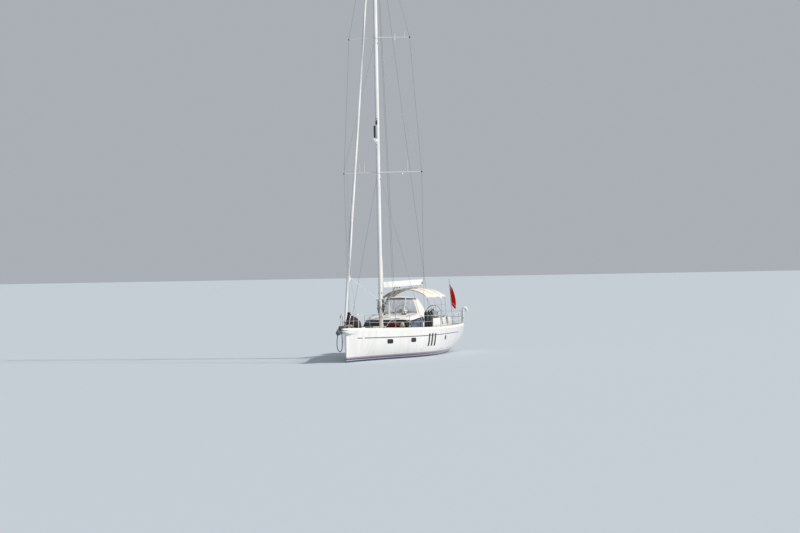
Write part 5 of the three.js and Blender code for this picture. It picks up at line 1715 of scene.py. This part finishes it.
anchorGear = Piece("anchorFittings", "steel", "galvanised")
anchorGear.bar((8.26, -0.145, 1.855), (8.26, -0.075, 1.855), 0.011, sides=12)
anchorGear.turned(
    [(0.0, 0.0), (0.022, 0.0), (0.022, 0.03), (0.014, 0.04), (0.0, 0.04)], (8.26, -0.075, 1.855), (0, 1, 0),
    16
)
anchorGear.bar((8.72, -0.165, 1.868), (8.72, -0.055, 1.868), 0.008, sides=12)
anchorGear.turned(
    [(0.03, -0.034), (0.04, -0.03), (0.028, 0.0), (0.04, 0.03), (0.03, 0.034), (0.03, -0.034)],
    (8.8, -0.11, 1.791), (0, 1, 0), 28
)
anchorGear.done(slot="stainless")
loop = [
    (8.7, -0.165, 1.79), (8.74, -0.2, 1.6), (8.73, -0.27, 1.3), (8.71, -0.3, 0.95), (8.69, -0.26, 0.69),
    (8.67, -0.16, 0.59), (8.66, -0.06, 0.7), (8.66, -0.03, 1.00), (8.67, -0.04, 1.4), (8.7, -0.056, 1.7),
    (8.7, -0.06, 1.8),
]
rope("snubberLoop", rounded(loop, 6), 0.042, "ropeNavy")

lamps = Piece("bowLamps", "black", "redLens", "greenLens")
for side, lens in ((1, 1), (-1, 2)):
    x, y = 8.1, side * 0.292
    lamps.index = 0
    lamps.block((x - 0.045, y - 0.03, 2.29), (x + 0.045, y + 0.03, 2.305), 0.004)
    lamps.block((x - 0.045, y - 0.03, 2.365), (x + 0.045, y + 0.03, 2.38), 0.004)
    lamps.index = lens
    lamps.bar((x, y, 2.303), (x, y, 2.367), 0.026, sides=20)
lamps.done(slot="black_rubber")
print("foredeck done")


# hatches: frames, hinges and handles that move with each lid
def hatchTrim(name, body, x, y, long, wide, hinge, handles=2):
    lidZ = max((nodes[body].matrix_world @ v.co).z for v in nodes[body].data.vertices)
    trimmed = Piece(name, "alloyFrame", "black", "steel")
    halfLong, halfWide = long / 2 - 0.006, wide / 2 - 0.006
    ring = []
    for cx, cy, start in ((1, 1, 0), (-1, 1, 90), (-1, -1, 180), (1, -1, 270)):
        for k in range(7):
            a = math.radians(start + 15 * k)
            ring.append((
                cx * (halfLong - 0.06) + 0.06 * math.cos(a), cy * (halfWide - 0.06) + 0.06 * math.sin(a)
            ))
    bars = [(1.0, 0.0), (1.0, 0.012), (0.945, 0.012), (0.94, 0.0)]
    rows = []
    for px, py in ring:
        rows.append([
            Vector((x + px * s, y + py * (1 - (1 - s) * halfLong / halfWide), lidZ + 0.0005 + h))
            for s, h in bars
        ])
    trimmed.loft(rows + [rows[0]], capped=False)
    trimmed.weld(0.0002)
    trimmed.index = 1
    for k in range(handles):
        off = (k - (handles - 1) / 2) * wide * 0.5
        px, py = (x - hinge * long * 0.36, y + off)
        trimmed.turned(
            [(0.0, 0.0), (0.024, 0.0), (0.024, 0.008), (0.015, 0.012), (0.0, 0.012)], (px, py, lidZ),
            sides=20
        )
        trimmed.block((px - 0.012, py - 0.045, lidZ + 0.01), (px + 0.012, py + 0.045, lidZ + 0.019), 0.004)
    trimmed.index = 2
    for off in (-0.3, 0.3):
        px = x + hinge * (long / 2 - 0.02)
        trimmed.bar(
            (px, y + off * wide - 0.035, lidZ + 0.006), (px, y + off * wide + 0.035, lidZ + 0.006), 0.011,
            sides=12
        )
    trimmed.done(body=body, slot="stainless")


hatchTrim("foreHatchTrim", "fore_hatch", 4.65, 0, 0.62, 0.62, 1)
hatchTrim("aftHatchTrim", "aft_hatch", -6.56, 0, 0.5, 0.56, 1)
hatchTrim("anchorLockerTrim", "anchor_locker_lid", 6.00, 0, 0.64, 0.56, -1, 1)
hatchTrim("lazaretteTrimPort", "lazarette_lid_port", -7.25, 0.9, 0.56, 0.8, 1, 1)
hatchTrim("lazaretteTrimStarboard", "lazarette_lid_starboard", -7.25, -0.9, 0.56, 0.8, 1, 1)
print("hatches done")


# deck gear: tracks with cars, fillers, vents, grab rails and the coachroof's lines
deckTree = treeOf("deck", "coachroof", "cockpit", "hull")


def onDeck(x, y, proud=0.0):
    hit = deckTree.ray_cast(Vector((x, y, 3.0)), lift(-1))[0]
    return Vector((x, y, (hit.z if hit else sheerAt(x)) + proud))


def along(path, count=24):
    # points spread evenly along a broken line, dropped onto the deck
    path = [Vector((*p, 0)) for p in path]
    total = lengthOf(path)
    spots = []
    for i in range(count + 1):
        left = total * i / count
        for a, b in zip(path, path[1:]):
            if left <= (b - a).length + 1e-6:
                spots.append(a.lerp(b, min(1.0, left / (b - a).length)))
                break
            left -= (b - a).length
    return spots


deckGear = Piece("deckGear", "black", "steel", "plastic")
for side in (1, -1):
    deckGear.index = 0
    track = [onDeck(p.x, p.y, 0.0) for p in along([(1.32, side * 1.585), (-1.9, side * 1.77)], 20)]
    section = ((-0.017, -0.004), (0.017, -0.004), (0.017, 0.024), (-0.017, 0.024))
    deckGear.loft([[p + Vector((0, a, b)) for a, b in section] for p in track])
    car = onDeck(1.12, side * 1.597)
    deckGear.block(car + Vector((-0.07, -0.034, 0.012)), car + Vector((0.07, 0.034, 0.048)), 0.006)
    deckGear.index = 1
    deckGear.turned(sheave(0.04, 0.028), car + lift(0.095), (0, 1, 0), 24)
    for off in (-0.019, 0.019):
        deckGear.block(
            car + Vector((-0.02, off - 0.003, 0.045)), car + Vector((0.02, off + 0.003, 0.135)), 0.002
        )
    for x, y in ((1.9, 2.02), (2.25, 1.96), (-3.0, 2.1), (-5.9, 2.05)):
        spot = onDeck(x, side * y)
        deckGear.turned(
            [(0.0, 0.0), (0.032, 0.0), (0.032, 0.004), (0.024, 0.007), (0.0, 0.007)], spot, sides=20
        )
        deckGear.bar(spot + Vector((-0.014, 0, 0.007)), spot + Vector((0.014, 0, 0.007)), 0.003, sides=6)
    for x, y in ((3.35, 0.62), (-7.45, 0.28)):
        spot = onDeck(x, side * y)
        deckGear.index = 1
        deckGear.turned(
            [
                (0.0, 0.0), (0.085, 0.0), (0.085, 0.012), (0.06, 0.022), (0.055, 0.05), (0.095, 0.052),
                (0.09, 0.07), (0.04, 0.085), (0.0, 0.088)
            ],
            spot, sides=28
        )
deckGear.index = 2
for x, y in ((-0.55, 0.62), (-0.55, -0.62)):
    spot = onDeck(x, y)
    deckGear.turned(
        [
            (0.0, 0.0), (0.12, 0.0), (0.12, 0.012), (0.055, 0.03), (0.052, 0.12), (0.1, 0.165),
            (0.105, 0.21), (0.08, 0.235), (0.0, 0.24)
        ],
        spot, sides=28
    )
deckGear.done(slot="stainless")

grabs = []
for side in (1, -1):
    feet = [onDeck(p.x, p.y) for p in along([(0.55, side * 1.02), (-0.75, side * 1.14)], 3)]
    line = []
    for a, b in zip(feet, feet[1:]):
        for k in range(12):
            t = k / 12
            line.append(a.lerp(b, t) + lift(0.062 * min(1.0, math.sin(math.pi * t) * 2.6) + 0.004))
    grabs.append(line + [feet[-1] + lift(0.004)])
wires("grabRails", grabs, 0.013, "steel")

clutches = Piece("roofClutches", "black", "steel", "leather")
roofLines = []
for side in (1, -1):
    for k in range(4):
        y = side * (0.5 + 0.062 * k)
        spot = onDeck(-0.42, y)
        clutches.index = 0
        clutches.block(spot + Vector((-0.1, -0.024, -0.01)), spot + Vector((0.1, 0.024, 0.055)), 0.008)
        handle = clutches.block(
            spot + Vector((-0.09, -0.015, 0.055)), spot + Vector((0.06, 0.015, 0.068)), 0.005
        )
        for v in handle:
            v.co.z += (v.co.x - spot.x + 0.09) * -0.1
    clutches.index = 1
    for x, y in ((1.02, 0.5), (0.96, 0.6)):
        spot = onDeck(x, side * y)
        clutches.turned(
            [(0.0, 0.0), (0.042, 0.0), (0.03, 0.012), (0.042, 0.024), (0.0, 0.026)], spot, sides=20
        )
    organiser = onDeck(0.92, side * 0.6)
    clutches.block(
        organiser + Vector((-0.09, -0.16, -0.004)), organiser + Vector((0.09, 0.16, 0.008)), 0.003
    )
clutches.done(slot="black_rubber")
for side, label in ((1, "Port"), (-1, "Starboard")):
    car = onDeck(1.12, side * 1.597, 0.137)
    lead = [onDeck(x, side * y, 0.012) for x, y in ((0.72, 1.6), (-0.6, 1.68), (-1.9, 1.755), (-2.25, 1.8))]
    rope(
        f"genoaSheet{label}", sag(tip, car, 0.06, 30) + rounded([car - Vector((0.04, 0, 0.012)), *lead], 5),
        0.022, "ropeBright"
    )
    for k, finish in enumerate(("ropeRed", "ropeWhite", "ropeBlue")):
        y = side * (0.5 + 0.062 * k)
        inner = side * (0.2 + 0.03 * k)
        path = [
            onDeck(p.x, p.y, 0.009)
            for p in along([(1.12, inner), (0.92, y + side * 0.03), (-0.42, y), (-0.8, y)], 26)
        ]
        path = [p + lift(0.022 if -0.55 < p.x < -0.3 else 0.0) for p in path]
        rope(f"roofLine{label}{k}", path, 0.01, finish)
print("deck gear done")


# dark surround that joins the front window to the side ones
surround = {"low": 1.665, "high": 1.975, "from": 38.0, "sweep": 25.0, "columns": 60, "proud": 0.007}


def makeSurround(side, label):
    roofTree = treeOf("coachroof", "window_front", "window_port", "window_starboard")
    band = Piece(f"windowSurround{label}", "glassBlack")
    ring = []
    for i in range(surround["columns"] + 1):
        # sweeps from ahead of the corner round to the side
        turn = math.radians(surround["from"] + surround["sweep"] * i / surround["columns"])
        rows = []
        for k in range(9):
            z = surround["low"] + (surround["high"] - surround["low"]) * k / 8
            start = Vector((0.25 + 3.0 * math.cos(turn), side * (0.35 + 3.0 * math.sin(turn)), z))
            aim = (Vector((0.25, side * 0.35, z)) - start).normalized()
            hit, normal, _, _ = roofTree.ray_cast(start, aim)
            rows.append(hit + (normal if normal.dot(aim) < 0 else -normal) * surround["proud"])
        ring.append(rows)
    grid = [[band.bm.verts.new(p) for p in rows] for rows in ring]
    for a, b in zip(grid, grid[1:]):
        for k in range(8):
            band.bm.faces.new((a[k], b[k], b[k + 1], a[k + 1]))
    band.outward()
    outward = sum((f.normal.dot(Vector((0.5, side, 0))) for f in band.bm.faces))
    if outward < 0:
        bmesh.ops.reverse_faces(band.bm, faces=band.bm.faces)
    band.done(slot="tinted_glass", thickness=0.006)


makeSurround(1, "Port")
makeSurround(-1, "Starboard")
print("window surrounds done")


# cockpit
helm = {"x": -5.195, "y": 0.93, "z": 2.19, "rim": 0.44}
for side, label in ((1, "port"), (-1, "starboard")):
    y = side * helm["y"]
    rim = Piece(f"wheelRim_{label}", "leather", "steel", "ropeWhite")
    ring = []
    for k in range(72):
        a = math.tau * k / 72
        centre = Vector((helm["x"], y + helm["rim"] * math.sin(a), helm["z"] + helm["rim"] * math.cos(a)))
        out = Vector((0, math.sin(a), math.cos(a)))
        thick = 0.0215 + 0.0012 * math.cos(k * math.pi)  # the lacing pulls the cover in
        ring.append([
            centre + (out * math.cos(t) + Vector((1, 0, 0)) * math.sin(t)) * thick for t in circle(12)
        ])
    rim.loft(ring + [ring[0]], capped=False)
    rim.weld(0.0001)
    rim.index = 1
    rim.turned(
        [(0.0, -0.035), (0.05, -0.03), (0.052, 0.0), (0.03, 0.022), (0.0, 0.026)],
        (helm["x"] - 0.005, y, helm["z"]), (-1, 0, 0), 28
    )
    rim.index = 2
    rim.bar((helm["x"], y, helm["z"] + 0.418), (helm["x"], y, helm["z"] + 0.462), 0.0225, sides=14)
    rim.done(body=f"steering_wheel_{label}", slot="stainless", crease=50)

    stand = Piece(f"helmStand_{label}", "plastic", "black", "screen", "steel", "redLens")
    stand.block((-5.075, y - 0.175, 2.09), (-4.925, y + 0.175, 2.335), 0.02)
    stand.index = 1
    stand.block((-5.13, y - 0.155, 2.115), (-5.07, y + 0.155, 2.315), 0.006)
    for off in (-0.085, 0.085):
        stand.turned(
            [(0.0, 0.0), (0.058, 0.0), (0.058, 0.012), (0.05, 0.016), (0.0, 0.016)],
            (-5.124, y + off, 2.245), (-1, 0, 0), 28
        )
    stand.index = 2
    for off in (-0.085, 0.085):
        stand.turned(
            [(0.0, 0.0), (0.046, 0.0), (0.046, 0.002), (0.0, 0.002)], (-5.14, y + off, 2.245), (-1, 0, 0),
            28
        )
    stand.block((-5.132, y - 0.045, 2.262), (-5.1295, y + 0.045, 2.3), 0.0)
    stand.index = 1
    stand.turned(
        [(0.0, 0.0), (0.085, 0.0), (0.088, 0.02), (0.078, 0.05), (0.0, 0.05)], (-4.99, y, 2.334), sides=32
    )
    stand.index = 2
    stand.ball((-4.99, y, 2.375), 0.07, (1, 1, 0.75), sides=28)
    stand.index = 3
    guard = [Vector((-4.885, y + 0.205 * math.cos(a), 2.08 + 0.36 * math.sin(a) ** 0.6)) for a in arch(30)]
    stand.tube([Vector((-4.885, y + 0.205, 1.3)), *guard, Vector((-4.885, y - 0.205, 1.3))], 0.0125, 10)
    for off in (-0.205, 0.205):
        stand.turned(
            [(0.0, 0.0), (0.034, 0.0), (0.03, 0.012), (0.0125, 0.02), (0.0, 0.02)],
            (-4.885, y + off, 1.252), sides=20
        )
    if side < 0:
        stand.bar((-5.02, y - 0.165, 1.86), (-5.02, y - 0.205, 1.86), 0.028, sides=20)
        stand.bar((-5.02, y - 0.2, 1.86), (-5.04, y - 0.21, 2.02), 0.009, sides=12)
        stand.index = 4
        stand.ball((-5.042, y - 0.21, 2.035), 0.022, sides=16)
    stand.done(slot="white_plastic")

    # winches: ribs on the drum, self-tailing jaw with its arm, and a socket on top
    for which, x in (("forward", -4.1), ("aft", -5.25)):
        top = Vector((x, side * 1.515, 1.9603))
        winch = Piece(f"winchTrim_{which}_{label}", "steel", "black")
        for a in circle(24):
            spot = top + Vector((0.0535 * math.cos(a), 0.0535 * math.sin(a), 0))
            winch.bar(
                spot + lift(0.042), spot + Vector((0.006 * math.cos(a), 0.006 * math.sin(a), 0.108)),
                0.0032, sides=5
            )
        winch.turned(
            [
                (0.062, 0.116), (0.071, 0.119), (0.071, 0.123), (0.05, 0.128), (0.071, 0.133),
                (0.071, 0.138), (0.058, 0.148), (0.0, 0.152), (0.0, 0.13)
            ],
            top, sides=36
        )
        winch.block(top + Vector((-0.012, 0.045, 0.118)), top + Vector((0.012, 0.092, 0.136)), 0.004)
        winch.turned(
            [(0.0, 0.0), (0.088, 0.0), (0.088, 0.008), (0.078, 0.016), (0.0, 0.016)], top - lift(0.0006),
            sides=36
        )
        if which == "forward":
            winch.bar(top + lift(0.15), top + lift(0.178), 0.013, sides=12)
            winch.bar(top + Vector((-0.02, 0, 0.17)), top + Vector((0.24, 0, 0.178)), 0.012, sides=12)
        winch.index = 1
        winch.turned([(0.0, 0.0), (0.014, 0.0), (0.014, 0.004), (0.0, 0.004)], top + lift(0.151), sides=8)
        if which == "forward":
            winch.turned(
                [(0.0, 0.0), (0.022, 0.003), (0.019, 0.06), (0.023, 0.12), (0.018, 0.135), (0.0, 0.138)],
                top + Vector((0.24, 0, 0.172)), sides=20
            )
        winch.done(slot="stainless", crease=35)
    # jammers ahead of the forward winch
    jam = Piece(f"coamingGear_{label}", "black", "steel")
    for k in range(3):
        across = side * (1.42 + 0.065 * k)
        jam.block((-3.66, across - 0.026, 1.955), (-3.46, across + 0.026, 2.025), 0.008)
        jam.block((-3.64, across - 0.016, 2.02), (-3.49, across + 0.016, 2.038), 0.005)
    jam.index = 1
    for x in (-2.95, -5.75):
        jam.bar((x - 0.1, side * 1.56, 2.002), (x + 0.1, side * 1.56, 2.002), 0.01, sides=12)
        for off in (-0.04, 0.04):
            jam.bar((x + off, side * 1.56, 1.957), (x + off, side * 1.56, 2.0), 0.009, sides=10)
    jam.done(slot="black_rubber")
print("helms done")


# teak underfoot
soles = Piece("cockpitSoles", "teak")
for low, high in (
    ((-4.33, -0.42, 1.2006), (-2.53, 0.42, 1.212)), ((-5.6, -0.6, 1.2506), (-4.4, 0.6, 1.262)),
    ((-5.6, 0.72, 1.2506), (-5.14, 1.36, 1.262)), ((-5.6, -1.36, 1.2506), (-5.14, -0.72, 1.262)),
):
    soles.block(low, high, 0.003)
soles.done(slot="teak")
print("soles done")


# cushions
def squared(share):
    # bends a circle's coordinate towards a square with round corners
    return abs(share) ** 0.22 * (1 if share > 0 else -1)


def cushion(name, low, high, body, puff=0.012):
    low, high = Vector(low), Vector(high)
    pad = Piece(name, "cushion")
    size, centre = high - low, (low + high) / 2
    rings = []
    for share, grow in ((0.0, 0.94), (0.12, 0.985), (0.3, 1.0), (0.7, 1.0), (0.88, 0.985), (1.0, 0.94)):
        ring = []
        for a in circle(56):
            px, py = squared(math.cos(a)), squared(math.sin(a))
            inset = (1 - grow) * min(size.x, size.y) * 0.5
            ring.append(Vector((
                centre.x + px * (size.x / 2 - inset), centre.y + py * (size.y / 2 - inset),
                low.z + size.z * share,
            )))
        rings.append(ring)
    pad.loft(rings, capped=False)
    for ring in (rings[0], rings[-1]):
        verts = [v for v in pad.bm.verts if any((v.co - p).length < 1e-6 for p in ring)]
        edges = [e for e in pad.bm.edges if e.is_boundary and all(v in verts for v in e.verts)]
        filled = bmesh.ops.holes_fill(pad.bm, edges=edges, sides=0)["faces"]
        bmesh.ops.inset_region(pad.bm, faces=filled, thickness=min(size.x, size.y) * 0.16, depth=0.0)
        bmesh.ops.poke(pad.bm, faces=filled)
    for v in pad.bm.verts:
        fromEnd = abs(abs(v.co.x - centre.x) - size.x / 2)
        fromSide = abs(abs(v.co.y - centre.y) - size.y / 2)
        edge = min(1.0, 2.2 * min(fromEnd, fromSide) / 0.1)
        if v.co.z > centre.z:
            v.co.z += puff * edge * (0.7 + noise.noise(v.co * 4.0))
    pad.outward()
    made = pad.done(body=body, slot="canvas", subdivide=2, crease=180)


for side, label in ((1, "port"), (-1, "starboard")):
    a, b = sorted((side * 0.52, side * 1.3))
    cushion(f"benchCushion_{label}", (-4.235, a, 1.6735), (-2.615, b, 1.725), f"locker_lid_{label}")
    a, b = sorted((side * 0.36, side * 1.38))
    cushion(f"helmCushion_{label}", (-5.945, a, 1.7215), (-5.655, b, 1.765), "yacht")
print("cushions done")


# stern: lamp, a teak pad on two rods, fittings on the transom, and the hull's skin fittings
stern = Piece("sternFittings", "plastic", "black", "teak", "steel")
stern.bar((-7.945, -0.7, 2.25), (-7.945, -0.7, 2.32), 0.03, sides=20)
stern.index = 2
stern.block((-7.965, -1.55, 1.98), (-7.925, -1.2, 2.2), 0.008)
stern.index = 3
for y in (-1.48, -1.27):
    stern.bar((-7.925, y, 1.92), (-7.925, y, 2.24), 0.008, sides=8)
for side in (1, -1):
    for x, z in ((-8.235, 0.35), (-8.235, 0.62)):
        at = onHull(x + 0.12, z, side)
        stern.turned(
            [(0.0, -0.01), (0.03, -0.01), (0.034, 0.004), (0.026, 0.009), (0.0, 0.003)],
            (x - 0.012, side * 1.15, z + 0.1), (-1, 0, 0.15), 20
        )
stern.index = 1
at = Vector((-8.2, -0.62, 0.28))
stern.turned(
    [(0.0, -0.02), (0.062, -0.02), (0.066, 0.012), (0.052, 0.02), (0.045, 0.006), (0.0, 0.0)], at,
    (-1, 0, 0.15), 28
)
stern.done(slot="white_plastic")

skin = Piece("skinFittings", "bronze")
for side, x, z, size in (
    (1, -1.6, 0.36, 0.028), (1, -3.2, 0.34, 0.028), (1, 1.5, 0.42, 0.022), (-1, -1.1, 0.36, 0.028),
    (-1, 2.4, 0.42, 0.022), (-1, -5.0, 0.36, 0.03), (1, -0.9, -0.25, 0.03), (-1, -2.6, -0.25, 0.03)
):
    at = onHull(x, z, side, -0.006)
    skin.turned(
        [
            (0.0, 0.0), (size * 1.5, 0.0), (size * 1.45, 0.011), (size * 0.8, 0.014), (size * 0.72, 0.004),
            (0.0, 0.004)
        ],
        at, (0, side, 0), 20
    )
skin.done(slot="bronze")
print("stern done")


# straps that hold the bimini down fore and aft
for side, label in ((1, "Port"), (-1, "Starboard")):
    foot = deckTree.find_nearest(Vector((-2.4, side * 1.4, 2.26)))[0]
    shoulder = Vector((-2.66, side * 1.235, 3.15))
    rope(
        f"biminiStrapForward{label}", sag(shoulder, foot, 0.0, 12), 0.012, "ropeWhite",
    )
    corner, rail = Vector((-5.58, side * 1.49, 3.14)), Vector((-6.99, side * 2.015, 2.25))
    rope(
        f"biminiStrapAft{label}", sag(corner, rail, 0.0, 16), 0.012, "ropeWhite",
    )

# white sleeves on the pulpit's after legs and the start of its top rail
sleeves = Piece("pulpitSleeves", "railCoat")
for side in (1, -1):
    low, bend, ahead = (
        Vector((x, side * y, z))
        for x, y, z in ((7.2415, 0.4065, 1.68), (7.25, 0.415, 2.44), (7.5, 0.3855, 2.449))
    )
    sleeves.bar(low, bend, 0.021)
    sleeves.bar(bend, ahead, 0.021)
    sleeves.ball(bend, 0.0214)
sleeves.done(slot="stainless")

# folded covers stowed on the side deck ahead of the coachroof, with a line thrown over them
stowed = {
    "x": 2.38,
    # y, half breadth and height of each section
    "stowedMaroon": (
        "maroonCanvas",
        (
            (0.36, 0.04, 0.03), (0.42, 0.14, 0.2), (0.56, 0.18, 0.27), (0.74, 0.18, 0.36),
            (0.9, 0.18, 0.3), (1.02, 0.17, 0.34), (1.13, 0.13, 0.22), (1.175, 0.04, 0.05)
        )
    ),
    "stowedTan": (
        "tanCanvas",
        (
            (1.19, 0.05, 0.05), (1.22, 0.14, 0.24), (1.33, 0.15, 0.33), (1.42, 0.12, 0.24),
            (1.455, 0.04, 0.05)
        )
    ),
    "stowedDark": (
        "brownCanvas",
        ((1.475, 0.05, 0.05), (1.5, 0.12, 0.2), (1.58, 0.13, 0.27), (1.665, 0.11, 0.2), (1.69, 0.04, 0.05))
    ),
    "line": (
        (2.68, 0.34, 0.012), (2.65, 0.5, 0.04), (2.575, 0.62, 0.24), (2.44, 0.74, 0.39),
        (2.3, 0.82, 0.37), (2.16, 0.94, 0.16), (2.12, 1.00, 0.03), (2.05, 1.06, 0.012)
    ),
}
for name in ("stowedMaroon", "stowedTan", "stowedDark"):
    finish, rows = stowed[name]
    bundle = Piece(name, finish)
    rings = []
    for y, half, tall in rows:
        ring = []
        for a in circle(24):
            lump = 1 + 0.16 * noise.noise(Vector((math.cos(a) * 1.7, y * 5.0, math.sin(a) * 1.7)))
            at = onDeck(stowed["x"] + half * math.cos(a) * lump, y, 0.0)
            ring.append(
                at + lift(0.001 + tall * 0.5 * (1 + math.sin(a)) * (lump if math.sin(a) > 0 else 1))
            )
        rings.append(ring)
    bundle.loft(rings)
    bundle.done(slot="canvas", subdivide=1, crease=180)
lineOver = [onDeck(x, y, rise) for x, y, rise in stowed["line"]]
rope("stowedLine", rounded(lineOver, 7), 0.022, "ropeBright")
print("stowed covers done")


# tails of the sheets, coiled and hung outboard of the coamings by each winch
for side, label in ((1, "Port"), (-1, "Starboard")):
    for which, x, y, finish in (("Forward", -4.02, 1.697, "ropeBlue"), ("Aft", -5.15, 1.676, "ropeDark")):
        coil(
            f"sheetTail{which}{label}", (x, side * y, 1.965), 0.36, 0.085, (-side, 0, 0), finish, 4,
            lean=0.2
        )
print("sheet tails done")
